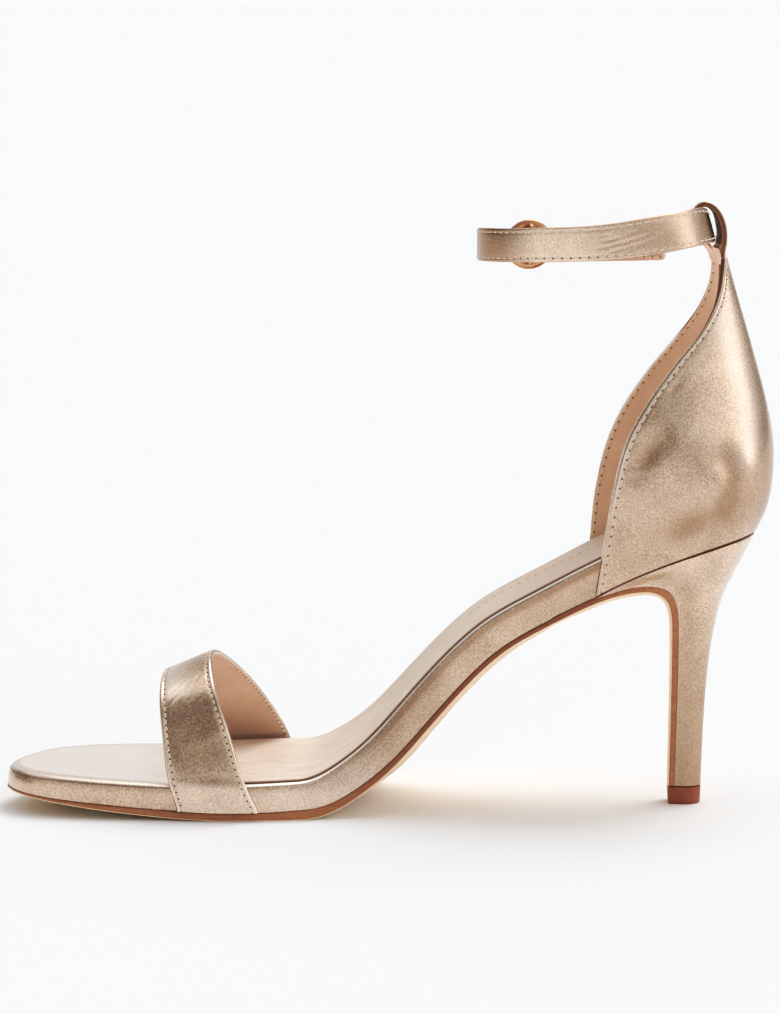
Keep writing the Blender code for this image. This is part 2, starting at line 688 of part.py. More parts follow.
def at_buckle(along, out, up):
    """A place measured along the strap, outward and upward from the ring's centre."""
    ahead = unit(np.array([*BUCKLE_ALONG, 0.0]))
    side = np.array([-ahead[1], ahead[0], 0.0])
    centre = np.array(BUCKLE_CENTRE)
    parts = [np.asarray(part, float)[..., None] for part in (along, out, up)]
    return centre + parts[0] * ahead + parts[1] * side + parts[2] * np.array([0.0, 0.0, 1.0])


def build_strap():
    """Ankle strap: one band from the chape round the ankle to the free tail."""
    parts = []
    for rows in (STRAP_CHAPE, STRAP_ROUND, STRAP_TAIL):
        spots = columns(rows, "x y z") if "x" in rows else at_buckle(rows["along"], rows["out"], rows["up"])
        parts.append(np.concatenate([spots, columns(rows, "lean width")], axis=1))
    path = through(np.concatenate(parts), STRAP_ROWS)
    ahead = unit(np.gradient(path[:, :3], axis=0))
    out = unit(np.cross([0.0, 0.0, 1.0], ahead))
    up = np.cross(ahead, out)
    lean = np.radians(path[:, 3:4])
    out, up = np.cos(lean) * out + np.sin(lean) * up, np.cos(lean) * up - np.sin(lean) * out
    run = np.concatenate([[0], np.cumsum(np.linalg.norm(np.diff(path[:, :3], axis=0), axis=1))])
    back = STRAP_THICK / 2 + CHAPE_THICK * np.clip((CHAPE_LENGTH - run) / CHAPE_STEP, 0, 1)
    half = path[:, 4] / 2
    face = np.full(len(path), STRAP_THICK / 2)
    corners = (
        (face - STRAP_BEVEL, half),
        (face, half - STRAP_BEVEL),
        (face, STRAP_BEVEL - half),
        (face - STRAP_BEVEL, -half),
        (STRAP_BEVEL - back, -half),
        (-back, STRAP_BEVEL - half),
        (-back, half - STRAP_BEVEL),
        (STRAP_BEVEL - back, half),
    )
    ring = [path[:, :3] + depth[:, None] * out + rise[:, None] * up for depth, rise in corners]
    return loft("ankle_strap", np.stack(ring, axis=1))


def rod(name, path, radius, sides=8):
    """A round bar along a path of points."""
    path = np.asarray(path, float)
    ahead = unit(np.gradient(path, axis=0))
    first = unit(np.cross(ahead, np.cross(ahead, [0.31, 0.22, 0.93])))
    second = np.cross(ahead, first)
    turn = np.linspace(0, 2 * np.pi, sides, endpoint=False)
    ring = np.cos(turn)[None, :, None] * first[:, None] + np.sin(turn)[None, :, None] * second[:, None]
    return loft(name, path[:, None] + radius * ring)


def build_buckle():
    """Round ring with a bar that bows inward under the strap, and the prong."""
    turn = np.linspace(0, 2 * np.pi, 32, endpoint=False)
    section = np.linspace(0, 2 * np.pi, 8, endpoint=False) + np.pi / 8
    radius = RING_RADIUS + RING_RADIAL * np.cos(section)[None, :]
    depth = RING_DEPTH * np.sin(section)[None, :] + 0 * turn[:, None]
    ring = loft(
        "buckle_frame",
        at_buckle(radius * np.cos(turn)[:, None], depth, radius * np.sin(turn)[:, None]),
        close_rings=True,
    )
    bow = through(columns(BUCKLE_BAR, "out up"), 19)
    bar = rod("buckle_bar", at_buckle(0 * bow[:, 0], *bow.T), BAR_RADIUS)
    join = ring.modifiers.new("join_bar", "BOOLEAN")
    join.operation = "UNION"
    join.solver = "EXACT"
    join.object = bar
    graph = bpy.context.evaluated_depsgraph_get()
    joined = bpy.data.meshes.new_from_object(ring.evaluated_get(graph))
    ring.modifiers.clear()
    ring.data = joined
    bpy.data.objects.remove(bar, do_unlink=True)
    line = through(columns(BUCKLE_PRONG, "along out"), 14)
    prong = rod("buckle_prong", at_buckle(*line.T, 0 * line[:, 0]), PRONG_RADIUS)
    return [ring, prong]


def give_material(item):
    red, green, blue, roughness, metallic = COLOURS[item.name]
    material = bpy.data.materials.new(item.name)
    material.use_nodes = True
    shader = material.node_tree.nodes["Principled BSDF"]
    shader.inputs["Base Color"].default_value = (red, green, blue, 1.0)
    shader.inputs["Roughness"].default_value = roughness
    shader.inputs["Metallic"].default_value = metallic
    item.data.materials.clear()
    item.data.materials.append(material)


def main():
    for item in list(bpy.data.objects):
        bpy.data.objects.remove(item, do_unlink=True)
    pieces = [
        build_outsole(),
        build_footbed(),
        build_sock(),
        build_heel(),
        build_heel_tip(),
        build_vamp(),
        build_counter(),
        build_strap(),
        *build_buckle(),
    ]
    corners = np.array([vertex.co[:] for item in pieces for vertex in item.data.vertices])
    middle = (corners.max(axis=0) + corners.min(axis=0)) / 2
    stand = bpy.data.objects.new("sandal", None)
    bpy.context.scene.collection.objects.link(stand)
    stand.location = (-middle[0], -middle[1], 0.0)
    for item in pieces:
        item.parent = stand
        give_material(item)


main()
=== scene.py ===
import math

import bmesh
import bpy
import numpy as np
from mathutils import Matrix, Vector


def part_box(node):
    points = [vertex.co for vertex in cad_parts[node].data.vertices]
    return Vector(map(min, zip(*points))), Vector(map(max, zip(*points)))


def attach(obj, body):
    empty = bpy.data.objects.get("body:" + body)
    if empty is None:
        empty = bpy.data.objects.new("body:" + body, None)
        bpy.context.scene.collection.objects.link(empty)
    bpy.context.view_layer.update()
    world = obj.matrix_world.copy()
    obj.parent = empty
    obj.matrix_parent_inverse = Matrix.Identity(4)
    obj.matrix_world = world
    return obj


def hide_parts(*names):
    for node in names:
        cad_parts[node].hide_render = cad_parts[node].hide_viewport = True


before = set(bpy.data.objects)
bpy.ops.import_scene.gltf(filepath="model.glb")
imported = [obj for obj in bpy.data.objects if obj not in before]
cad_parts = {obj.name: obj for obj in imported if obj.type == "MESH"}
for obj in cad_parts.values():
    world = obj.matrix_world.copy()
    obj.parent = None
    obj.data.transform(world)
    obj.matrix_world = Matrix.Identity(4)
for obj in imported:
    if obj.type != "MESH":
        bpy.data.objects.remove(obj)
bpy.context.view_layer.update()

mm = 0.001
tipBackX = 90.3  # back of the heel tip in the tables below, which are in mm
heelBox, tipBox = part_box("heel"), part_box("heel_tip")
shift = np.array([tipBox[1][0] / mm - tipBackX, (heelBox[0][1] + heelBox[1][1]) / 2 / mm, 0.0])
print("frame loaded, tables shifted by", shift.round(3), "mm")


def tableOf(names, *values):
    return dict(zip(names.split(), np.array(values, float).T))


def pick(rows, names):
    return np.stack([rows[name] for name in names.split()], axis=-1)


def unit(vectors):
    return vectors / np.maximum(np.linalg.norm(vectors, axis=-1, keepdims=True), 1e-9)


def lengths(points, axis=0):  # distance run along lines of points
    steps = np.linalg.norm(np.diff(points, axis=axis), axis=-1)
    return np.concatenate([0 * steps.take([0], axis), steps.cumsum(axis)], axis)


def readAt(rows, name, at):  # a column of a table, read by its first column
    return np.interp(at, next(iter(rows.values())), rows[name])


def ramp(at, stops):  # straight from stop to stop, each a place and its value
    return np.interp(at, *zip(*stops))


def bell(value, peak, middle, width):
    return peak * np.exp(-(((value - middle) / width) ** 2))


def smooth(t):  # eased at 0 and at 1
    return t**2 * (3 - 2 * t)


def circle(count):
    return np.linspace(0, 2 * np.pi, count, endpoint=False)


def sample(line, far, at):  # points of a line by the distance run
    return np.stack([np.interp(at, far, column) for column in line.T], axis=-1)


def beside(*parts):  # grids joined side by side
    return np.concatenate(parts, axis=1)


def bothFaces(outer, inner):  # once round a sheet, out over one face and back along the other
    return beside(outer, inner[:, ::-1])


def ruled(first, second, t):  # straight lines from one edge to the other
    return first[:, None] * (1 - t) + second[:, None] * t


# cubic spline: a cubic between each two knots, with the same slope and bend on both sides of a knot
def spline(xs, ys, at, startSlope=None):
    xs = np.asarray(xs, float)
    ys = np.asarray(ys, float).reshape(len(xs), -1)
    at = np.asarray(at, float)
    count = len(xs)
    step = np.diff(xs)
    rise = np.diff(ys, axis=0) / step[:, None]
    system = np.eye(count)
    right = np.zeros_like(ys)
    inside = np.arange(1, count - 1)
    system[inside, inside - 1] = step[:-1]
    system[inside, inside] = 2 * (step[:-1] + step[1:])
    system[inside, inside + 1] = step[1:]
    right[1:-1] = 6 * np.diff(rise, axis=0)
    if startSlope is not None:
        system[0, :2] = 2 * step[0], step[0]
        right[0] = 6 * (rise[0] - startSlope)
    bend = np.linalg.solve(system, right)
    i = np.clip(np.searchsorted(xs, at.ravel(), side="right") - 1, 0, count - 2)
    t = (at.ravel() - xs[i])[:, None]
    h = step[i][:, None]
    slope = rise[i] - h * (2 * bend[i] + bend[i + 1]) / 6
    value = ys[i] + t * slope + t**2 * bend[i] / 2 + t**3 * (bend[i + 1] - bend[i]) / (6 * h)
    return value[:, 0].reshape(at.shape) if ys.shape[1] == 1 else value


def through(points, count):  # evenly spaced points on the spline through the given ones
    points = np.asarray(points, float)
    far = lengths(points[:, :3])
    return spline(far, points, np.linspace(0, far[-1], count))


# soft troughs and ridges: the sum of depth times a bell, long one way and narrow the other
def creases(rows, a, b):
    total = np.zeros(np.broadcast(a, b).shape)
    for midA, midB, turn, long, wide, deep in pick(rows, "a b turn long wide deep"):
        ahead, aside = np.cos(np.radians(turn)), np.sin(np.radians(turn))
        u = (a - midA) * ahead + (b - midB) * aside
        v = (b - midB) * ahead - (a - midA) * aside
        total -= deep * np.exp(-((u / long) ** 2) - (v / wide) ** 2)
    return total


# corner numbers of a grid's cells, wrapped round each row and, where closed, from last row to first
def cells(rowCount, colCount, closeRows=False):
    i = np.arange(rowCount if closeRows else rowCount - 1)[:, None]
    j = np.arange(colCount)[None, :]
    k, l = (i + 1) % rowCount, (j + 1) % colCount
    corners = [i * colCount + j, i * colCount + l, k * colCount + l, k * colCount + j]
    return np.stack(np.broadcast_arrays(*corners), axis=-1).reshape(-1, 4)


# end caps of a loft: each point joined across to the one that lies opposite it
def caps(rowCount, colCount):
    j = np.arange((colCount - 1) // 2)
    k = colCount - 1 - j
    strip = np.stack([j, j + 1, k - 1, k], axis=-1)
    return np.concatenate([strip, strip + (rowCount - 1) * colCount])


# a shell is a grid of rings, closed round each ring, and capped or closed from last ring to first
def shell(points, closeRows=False, **marks):
    points = np.asarray(points, float)
    rowCount, colCount = points.shape[:2]
    faces = cells(rowCount, colCount, closeRows)
    if not closeRows:
        faces = np.concatenate([faces, caps(rowCount, colCount)])
    return dict(points=points.reshape(-1, 3), faces=faces, marks=marks)


sharpFrom = math.radians(50)  # faces that meet at more than this keep a sharp edge


def makePiece(name, shells, material, node):
    first = np.cumsum([0] + [len(part["points"]) for part in shells])
    points = (np.concatenate([part["points"] for part in shells]) + shift) * mm
    faces = np.concatenate([part["faces"] + start for part, start in zip(shells, first)])
    mesh = bpy.data.meshes.new(name)
    mesh.vertices.add(len(points))
    mesh.vertices.foreach_set("co", points.ravel())
    mesh.loops.add(faces.size)
    mesh.loops.foreach_set("vertex_index", faces.ravel().astype(np.int32))
    mesh.polygons.add(len(faces))
    mesh.polygons.foreach_set("loop_start", np.arange(0, faces.size, 4, dtype=np.int32))
    mesh.update(calc_edges=True)
    for mark in sorted({key for part in shells for key in part["marks"]}):
        values = [np.ravel(part["marks"].get(mark, np.zeros(len(part["points"])))) for part in shells]
        layer = mesh.attributes.new(mark, "FLOAT", "POINT")
        layer.data.foreach_set("value", np.concatenate(values).astype(np.float32))
    body = bmesh.new()
    body.from_mesh(mesh)
    bmesh.ops.remove_doubles(body, verts=body.verts, dist=2e-6)
    bmesh.ops.dissolve_degenerate(body, edges=body.edges, dist=1e-6)
    bmesh.ops.recalc_face_normals(body, faces=body.faces)
    body.to_mesh(mesh)
    body.free()
    mesh.polygons.foreach_set("use_smooth", np.ones(len(mesh.polygons), bool))
    mesh.set_sharp_from_angle(angle=sharpFrom)
    mesh.materials.append(material)
    piece = bpy.data.objects.new(name, mesh)
    bpy.context.scene.collection.objects.link(piece)
    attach(piece, "root")
    if node:
        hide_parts(node)
    print(name, "made with", len(mesh.polygons), "faces")


# shader sockets with arithmetic: an operator adds a Math node, node() adds any other
class Wire:
    def __init__(self, socket):
        self.socket = socket

    def node(self, kind, settings=None, links=None, out=0):
        made = self.socket.id_data.nodes.new(kind)
        for name, value in (settings or {}).items():
            if name == "stops":
                while len(made.color_ramp.elements) < len(value):
                    made.color_ramp.elements.new(1.0)
                for element, (position, colour) in zip(made.color_ramp.elements, value):
                    element.position, element.color = position, (*colour, 1.0)
            else:
                setattr(made, name, value)
        for name, value in (links or {}).items():
            if isinstance(value, Wire):
                self.socket.id_data.links.new(value.socket, made.inputs[name])
            else:
                made.inputs[name].default_value = value
        return Wire(made.outputs[out])

    def math(self, operation, first, second=0.0):
        return self.node("ShaderNodeMath", {"operation": operation}, {0: first, 1: second})

    def __add__(self, other):
        return self.math("ADD", self, other)

    def __sub__(self, other):
        return self.math("SUBTRACT", self, other)

    def __rsub__(self, other):
        return self.math("SUBTRACT", other, self)

    def __mul__(self, other):
        return self.math("MULTIPLY", self, other)

    def __truediv__(self, other):
        return self.math("DIVIDE", self, other)

    __radd__ = __add__
    __rmul__ = __mul__

    def step(self, low, high):  # 0 under low, 1 over high, smooth between
        links = {"Value": self, "From Min": low, "From Max": high}
        return self.node("ShaderNodeMapRange", {"interpolation_type": "SMOOTHSTEP"}, links)

    def blend(self, below, above):  # colour that goes from below to above as this goes from 0 to 1
        links = {0: self, 6: colour4(below), 7: colour4(above)}
        return self.node("ShaderNodeMix", {"data_type": "RGBA"}, links, out=2)

    def mark(self, name):
        return self.node("ShaderNodeAttribute", {"attribute_name": name}, out=2)

    def noise(self, size, detail=2.0, stretch=None, rough=0.5):  # size of a lump in mm
        spot = self
        if stretch:
            spot = self.node("ShaderNodeMapping", {}, {"Vector": self, "Scale": stretch})
        links = {"Vector": spot, "Scale": 1.0 / (size * mm), "Detail": detail, "Roughness": rough}
        return spot.node("ShaderNodeTexNoise", {"noise_dimensions": "3D"}, links)


def colour4(value):
    return value if isinstance(value, Wire) else (*value, 1.0)


def newMaterial(name):
    material = bpy.data.materials.new(name)
    material.use_nodes = True
    return material, Wire(material.node_tree.nodes.new("ShaderNodeTexCoord").outputs["Object"])


# feeds the shader's inputs; a bump is a height with its strength and its depth in mm
def finish(material, bump=None, **inputs):
    if bump:
        height, strength, depth = bump
        links = {"Strength": strength, "Distance": depth * mm, "Height": height}
        inputs["Normal"] = height.node("ShaderNodeBump", {}, links)
    for name, value in inputs.items():
        socket = material.node_tree.nodes["Principled BSDF"].inputs[name.replace("_", " ")]
        if isinstance(value, Wire):
            material.node_tree.links.new(value.socket, socket)
        else:
            socket.default_value = value
    return material


# dark needle holes: round spots every pitch along the row, a fixed way in from the edge
def needleHoles(spot, pitch, inset, radius):
    run = spot.mark("run") / pitch + 0.5
    along = (run - spot.math("FLOOR", run) - 0.5) * pitch
    aside = spot.mark("rim") - inset
    gap = spot.math("SQRT", along * along + aside * aside)
    return 1.0 - gap.step(radius * 0.6, radius * 1.25)


thread = dict(radius=0.23, lift=0.16, sink=0.22, rings=7, sides=6, hole=0.3, groove=0.4,
              margin=0.06, plump=0.6, endSize=0.35, flat=0.8)
gold = dict(light=(0.88, 0.655, 0.475), deep=(0.44, 0.285, 0.185), dim=(0.36, 0.215, 0.13), bright=(0.97, 0.87, 0.78),
            roughness=0.27, pebble=0.9, grain=0.5, relief=0.07, coat=0.85)


# foil leather: a cell pattern and a finer noise lift the skin; tone and gloss wander over a few mm
def foilSkin(spot, look):
    fine = spot.noise(look["grain"], detail=3.0, rough=0.6)
    links = {"Vector": spot, "Scale": 1.0 / (look["pebble"] * mm)}
    pebble = spot.node("ShaderNodeTexVoronoi", {"feature": "F1"}, links)
    cloud = spot.noise(9.0, detail=3.0)
    height = fine * 0.8 + pebble * 0.3
    tone = (fine * 0.75 + cloud * 0.25).step(0.34, 0.66)
    rough = look["roughness"] + (cloud - 0.5) * 0.14 + (fine - 0.5) * 0.16
    # painted shade darkens the foil towards the dim colour; painted highlights and painted light lighten it towards the
    # bright colour
    colour = spot.mark("shade").blend(tone.blend(look["deep"], look["light"]), look["dim"])
    colour = spot.mark("rubbed").blend(colour, look["bright"])
    return colour, rough, height


# one leather for a whole strap: foil outside, lining inside, raw edge where the mark cut says so
def leather(name, look, lining=None, edge=None, seam=None):
    material, spot = newMaterial(name)
    colour, rough, height = foilSkin(spot, look)
    metal = 1.0
    if lining:
        inside = spot.mark("lining").step(0.35, 0.65)
        nap = spot.noise(0.5, detail=4.0)
        patch = spot.noise(14.0)
        tan = (nap * 0.4 + patch * 0.6).step(0.3, 0.7).blend(lining["deep"], lining["light"])
        # painted shade on the lining
        tan = spot.mark("shade").blend(tan, lining["dim"])
        colour = inside.blend(colour, tan)
        rough = rough + inside * (lining["roughness"] - rough)
        metal = 1.0 - inside
    if edge:
        raw = spot.mark("cut").step(0.4, 0.6)
        layer = spot.mark("layer")
        joint = spot.math("ABSOLUTE", layer - edge["joint"]).step(0.05, 0.16)
        fibre = spot.noise(0.35, detail=3.0).step(0.3, 0.7)
        bare = joint.blend(edge["line"], fibre.blend(edge["deep"], edge["light"]))
        bare = spot.mark("lip").blend(bare, fibre.blend(edge["pale"], edge["palest"]))
        scored = 1.0 - spot.math("ABSOLUTE", spot.mark("rim") - edge["scored"]).step(0.06, 0.2)
        colour = raw.blend((scored * spot.mark("score")).blend(colour, edge["line"]), bare)
        rough = rough + raw * (0.62 - rough)
        metal = metal * (1.0 - raw)
    if seam:
        pricked = needleHoles(spot, seam["pitch"], seam["inset"], thread["hole"])
        if edge:
            pricked = pricked * (1.0 - raw)
        colour = pricked.blend(colour, (0.07, 0.035, 0.02))
        metal = metal * (1.0 - pricked)
        height = height - pricked * 2.0
    # the coat fades where shade is painted
    coat = (1.0 - spot.mark("shade")) * metal * look["coat"]
    return finish(material, (height, 0.6, look["relief"]), Base_Color=colour, Roughness=rough, Metallic=metal,
                  Coat_Weight=coat, Coat_Roughness=0.13, Coat_IOR=2.1)


# stitches: each thread rises from one hole, arches over the leather as a half sine and goes down the next
def stitchRow(line, outward, pitch):
    far = lengths(line)
    holes = pitch * np.arange(1, int(far[-1] / pitch))
    share = np.linspace(0.0, 1.0, thread["rings"])
    at = holes[:, None] + pitch * (thread["margin"] + (1 - 2 * thread["margin"]) * share)
    centre = sample(line, far, at)
    up = unit(sample(outward, far, at))
    side = unit(np.cross(unit(np.gradient(centre, axis=1)), up))
    arch = np.sin(np.pi * share)[None, :, None] ** thread["plump"]
    lift = thread["lift"] * arch - thread["sink"] * (1 - arch)
    thick = thread["radius"] * (thread["endSize"] + (1 - thread["endSize"]) * arch)
    turn = circle(thread["sides"])[None, None, :, None]
    ring = np.cos(turn) * side[:, :, None] + thread["flat"] * np.sin(turn) * up[:, :, None]
    points = (centre + up * lift)[:, :, None] + thick[:, :, None] * ring
    size = thread["rings"], thread["sides"]
    one = np.concatenate([cells(*size), caps(*size)])
    jump = size[0] * size[1] * np.arange(len(holes))
    return dict(points=points.reshape(-1, 3), faces=(one[None] + jump[:, None, None]).reshape(-1, 4), marks={})


def threadMaterial():
    material, spot = newMaterial("waxed_thread")
    twist = spot.noise(0.3)
    colour = twist.step(0.3, 0.7).blend((0.74, 0.56, 0.41), (0.93, 0.79, 0.64))
    return finish(material, (twist, 0.4, 0.08), Base_Color=colour, Roughness=0.55 + twist * 0.1)


# the last: feather line, outline and heights that sole, footbed and sock share
last = dict(treadFront=-48.0, treadRear=-26.0, toeTip=-110.5, toeTipSide=-7.5, heelEnd=103.2,
            flat=2.95, spring=4.3, springPower=1.3, step=0.05, crowding=0.55, gap=0.3)
featherRows = tableOf(
    "x z",
    (-26, 2.95), (-17, 4.7), (-8.4, 9.4), (0.6, 16.6), (9.4, 26), (20.8, 38.6), (31.2, 48.1),
    (43.2, 55.4), (54.2, 61.4), (65.2, 67.2), (79.5, 73.4), (93, 77.7), (106, 80.6),
)
outlineRows = tableOf(
    "x medial lateral",
    (-107.5, -17.3, 5), (-101.5, -23.2, 17.6), (-92, -26.9, 27), (-78, -29.4, 33.8),
    (-62, -30.8, 38.2), (-46, -31.2, 40.7), (-30, -30, 41.2), (-12, -26, 37),
    (8, -21.2, 29.8), (31, -19, 24.8), (54, -20, 21.7), (76, -21.8, 21.8),
    (92, -19.4, 18.6), (100.5, -11.2, 9.8),
)
heightRows = tableOf(
    "x thick cup crown",
    (-110.5, 5.9, 0, 0), (-84, 6.5, 0, 0), (-50, 7.3, 0.3, 0), (-21, 8.2, 0.5, 0),
    (-10, 8.5, 0.8, 2.8), (0, 8.6, 0.9, 3.9), (8, 8.7, 1, 3.6), (16, 8.7, 1.1, 3.3),
    (31, 8.7, 1.3, 3.5), (44, 8.7, 1.4, 2.8), (52, 8.7, 1.4, 1), (58, 8.7, 1.5, 0),
    (106, 8.4, 1.5, 0),
)
leanRows = tableOf("x lean", (58, -0.46), (76, -0.25), (92, 0.08), (104, 0.42))


# feather line: toe spring as a power of the way ahead, flat tread, then a spline up the waist and seat
def feather(x):
    x = np.asarray(x, float)
    ahead = np.clip((last["treadFront"] - x) / (last["treadFront"] - last["toeTip"]), 0, None)
    front = last["flat"] + last["spring"] * ahead ** last["springPower"]
    waist = spline(featherRows["x"], featherRows["z"], x, startSlope=0.0)
    return np.where(x < last["treadRear"], front, waist)


# point at this height over the feather line, square to it, or leaning with the heel cup
def place(plan, height):
    x, step = plan[..., 0], last["step"]
    slope = (feather(x + step) - feather(x - step)) / (2 * step)
    lean = np.where(x < leanRows["x"][0], -slope, readAt(leanRows, "lean", x))
    size = np.sqrt(1 + lean**2)
    return np.stack([x + height * lean / size, plan[..., 1], feather(x) + height / size], axis=-1)


# footbed outline: a closed spline, cut into its two halves from toe tip to heel end, with inward normals
def outlineHalves(count):
    inner, outer = pick(outlineRows, "x medial"), pick(outlineRows, "x lateral")
    loop = np.concatenate([[[last["toeTip"], last["toeTipSide"]]], inner, [[last["heelEnd"], 0.0]], outer[::-1]])
    around = len(loop)
    turns = np.concatenate([loop, loop, loop, loop[:1]])
    far = lengths(turns)
    start, middle, stop = far[around], far[around + len(inner) + 1], far[2 * around]
    even = np.linspace(0, 1, count)
    spread = last["crowding"] * (1 - np.cos(np.pi * even)) / 2 + (1 - last["crowding"]) * even
    halves = []
    for first, final, turn in ((start, middle, 1), (stop, middle, -1)):
        at = first + (final - first) * spread
        along = spline(far, turns, at + last["step"]) - spline(far, turns, at - last["step"])
        along = unit(turn * along * np.sign(final - first))
        halves.append((spline(far, turns, at), np.stack([-along[:, 1], along[:, 0]], axis=-1)))
    return halves


edgeSamples = outlineHalves(500)


def edgesAt(x):
    return [np.interp(x, points[:, 0], points[:, 1]) for points, inward in edgeSamples]


def across(plan):  # -1 at the inner edge, 1 at the outer one
    inner, outer = edgesAt(plan[..., 0])
    return np.clip((plan[..., 1] - (inner + outer) / 2) / np.maximum((outer - inner) / 2, 1.0), -1, 1)


def heightOf(name, x):
    return readAt(heightRows, name, x)


def bedTop(plan):  # cupped: lowest in the middle
    return heightOf("thick", plan[..., 0]) - heightOf("cup", plan[..., 0]) * (1 - across(plan) ** 2)


def bedBottom(plan):  # crowned: lowest in the middle
    return -heightOf("crown", plan[..., 0]) * (1 - across(plan) ** 2)


# how far a rounded edge falls away: a quarter circle over the last stretch
def roundFall(distance, radius):
    near = np.clip(radius - distance, 0, None)
    return radius - np.sqrt(np.maximum(radius**2 - near**2, 0))


# distances across a sheet of this width, crowded over both round edges, and the fall of the edges there
def acrossSheet(width, edge, piece):
    width, edge = np.asarray(width)[:, None], np.asarray(edge)[:, None]
    turn = edge * (1 - np.cos(np.linspace(0, np.pi / 2, piece["bends"])))
    middle = edge + (width - 2 * edge) * np.linspace(0, 1, piece["inside"] + 2)[1:-1]
    distance = beside(turn, middle, width - turn[:, ::-1])
    return distance, roundFall(np.clip(np.minimum(distance, width - distance), 0, None), edge)


# line on a sheet at a fixed way in from its first edge, straight between columns
def insetLine(sheet, distance, inset):
    i = np.arange(len(sheet))
    j = np.clip(np.argmax(distance >= inset, axis=1), 1, None)
    t = ((inset - distance[i, j - 1]) / np.maximum(distance[i, j] - distance[i, j - 1], 1e-9))[:, None]
    return sheet[i, j - 1] * (1 - t) + sheet[i, j] * t


# stitch rows along both edges of a sheet, outside and on its lining, and the distance run along each
def seamRows(seam, outer, inner, inward, distance):
    start, stop = seam.get("seamRows", (0, None))
    stitches, runs = [], []
    for way in (1, -1):
        far = distance if way == 1 else (distance[:, -1:] - distance)[:, ::-1]
        for sheet, sign, inset in ((outer, -1, seam["inset"]), (inner, 1, seam["liningInset"])):
            line = insetLine(sheet[:, ::way], far, inset)
            outward = sign * insetLine(inward[:, ::way], far, inset)
            stitches.append(stitchRow(line[start:stop], outward[start:stop], seam["pitch"]))
            runs.append((lengths(line) - lengths(line)[start])[:, None])
    return stitches, runs


rimRows = tableOf(
    "x edge down",
    (-110.5, 2.8, 2.4), (-100, 2.8, 1.9), (-70, 2.7, 1.6), (-52, 2.3, 1.5), (-40, 2, 1.5), (-10, 1.4, 1.4),
)
skirtRows = tableOf(
    "x drop",
    (-110.5, 0.47), (-90, 0.72), (-35, 0.72), (-25, 0.27), (-18, 0.47), (44, 0.47), (48, 0.55),
    (52, 0.75), (57, 0.95), (59, 0.9), (61, 0.2),
)
# painted shade on the footbed's wall by place along the shoe
wallShade = tableOf(
    "x shade",
    (-70, 0.12), (-40, 0), (-12, 0), (2, 0.42), (18, 0.27), (40, 0.25), (58, 0.42),
)
# triples are a bell's peak, middle and width in degrees round the rim, under 0 on the wall;
# pairs are a place along the shoe in mm and the value there
# the rim's bells and the ball's and toe's pairs paint light and shade: a highlight along the rim, painted shade in a
# band under it, deeper in the waist, and painted light on the ball's wall and the toe's top
footbed = dict(rows=230, turns=10, wall=9, belly=0.2, top=30, low=8, roughness=0.25,
               rimHighlight=(0.85, 48, 24), underRim=(0.4, 2, 14), waistRim=(0.7, -5, 9), waist=((-20, 0), (5, 1)),
               ballLight=((-45, 0), (-30, 0.2), (-12, 0.2), (-2, 0)), ballBelow=-8, toeLight=((-75, 0.6), (-60, 0)))


# footbed: wall from the feather line with a sine belly, a quarter of an ellipse, then the cupped top
def makeFootbed():
    halves = outlineHalves(footbed["rows"])
    turn = np.radians(np.linspace(0, 90, footbed["turns"]))
    share = np.linspace(0, 1, footbed["wall"])[:-1]
    climb = np.concatenate([share, 1 + 0 * turn])
    sides, rims = [], []
    for plan, inward in halves:
        edge, down = [readAt(rimRows, name, plan[:, :1]) for name in ("edge", "down")]
        belly = -footbed["belly"] * np.sin(np.pi * share) + 0 * edge
        spot = plan[:, None] + beside(belly, edge * (1 - np.cos(turn)))[..., None] * inward[:, None]
        top = bedTop(spot)
        drop = beside(0 * belly, down * (1 - np.sin(turn)))
        skirt = readAt(skirtRows, "drop", spot[..., 0])
        sides.append(place(spot, np.where(climb < 1, climb * (top - down) - (1 - climb) * skirt, top - drop)))
        rims.append(plan + edge * inward)
    over = ruled(*rims, np.linspace(0, 1, footbed["top"])[None, 1:-1, None])
    below = ruled(halves[1][0], halves[0][0], np.linspace(0, 1, footbed["low"])[None, 1:-1, None])
    top = place(over, bedTop(over))
    low = place(below, bedBottom(below) - readAt(skirtRows, "drop", below[..., 0]))
    rings = beside(sides[0], top, sides[1][:, ::-1], low)
    angle = np.concatenate([90 * (share - 1), np.degrees(turn)])
    # painted shade: a dark band under the rim, wider in the waist, and the wall darker by place
    underRim, waistRim = [bell(angle, *footbed[name]) for name in ("underRim", "waistRim")]
    shades = []
    for side in sides:
        inWaist = ramp(side[..., 0], footbed["waist"])
        shades.append(underRim + inWaist * (waistRim - underRim) + readAt(wallShade, "shade", side[..., 0]))
    # painted highlight along the rim, painted light on the ball's wall and on the toe's top
    lighter = bell(angle, *footbed["rimHighlight"]) + ramp(sides[0][..., 0], footbed["ballLight"]) * (angle < footbed["ballBelow"])
    toeLight, none = ramp(top[..., 0], footbed["toeLight"]), 0 * low[..., 0]
    marks = dict(shade=beside(shades[0], 0 * toeLight, shades[1][:, ::-1], none),
                 rubbed=beside(lighter, toeLight, lighter[:, ::-1], none))
    foil = leather("footbed_foil", dict(gold, roughness=footbed["roughness"]))
    makePiece("wrapped_footbed", [shell(rings, **marks)], foil, "footbed")


# the shade pairs are painted shade by place along the shoe, darker towards the heel
sock = dict(pitch=2.85, rows=170, inset=2.0, lift=0.12, thick=0.75, edge=0.4, bends=6, inside=34,
            frontMedial=-55.0, frontLateral=-50.0, sink=0.1, rawFrom=0.75,
            shade=((-8, 0), (22, 0.2), (50, 0.52), (75, 0.68)))
sockSeam = tableOf("x y", (26, 15.2), (34, 14.6), (44, 13.2), (54, 11.6), (64, 10.2), (74, 9.4))


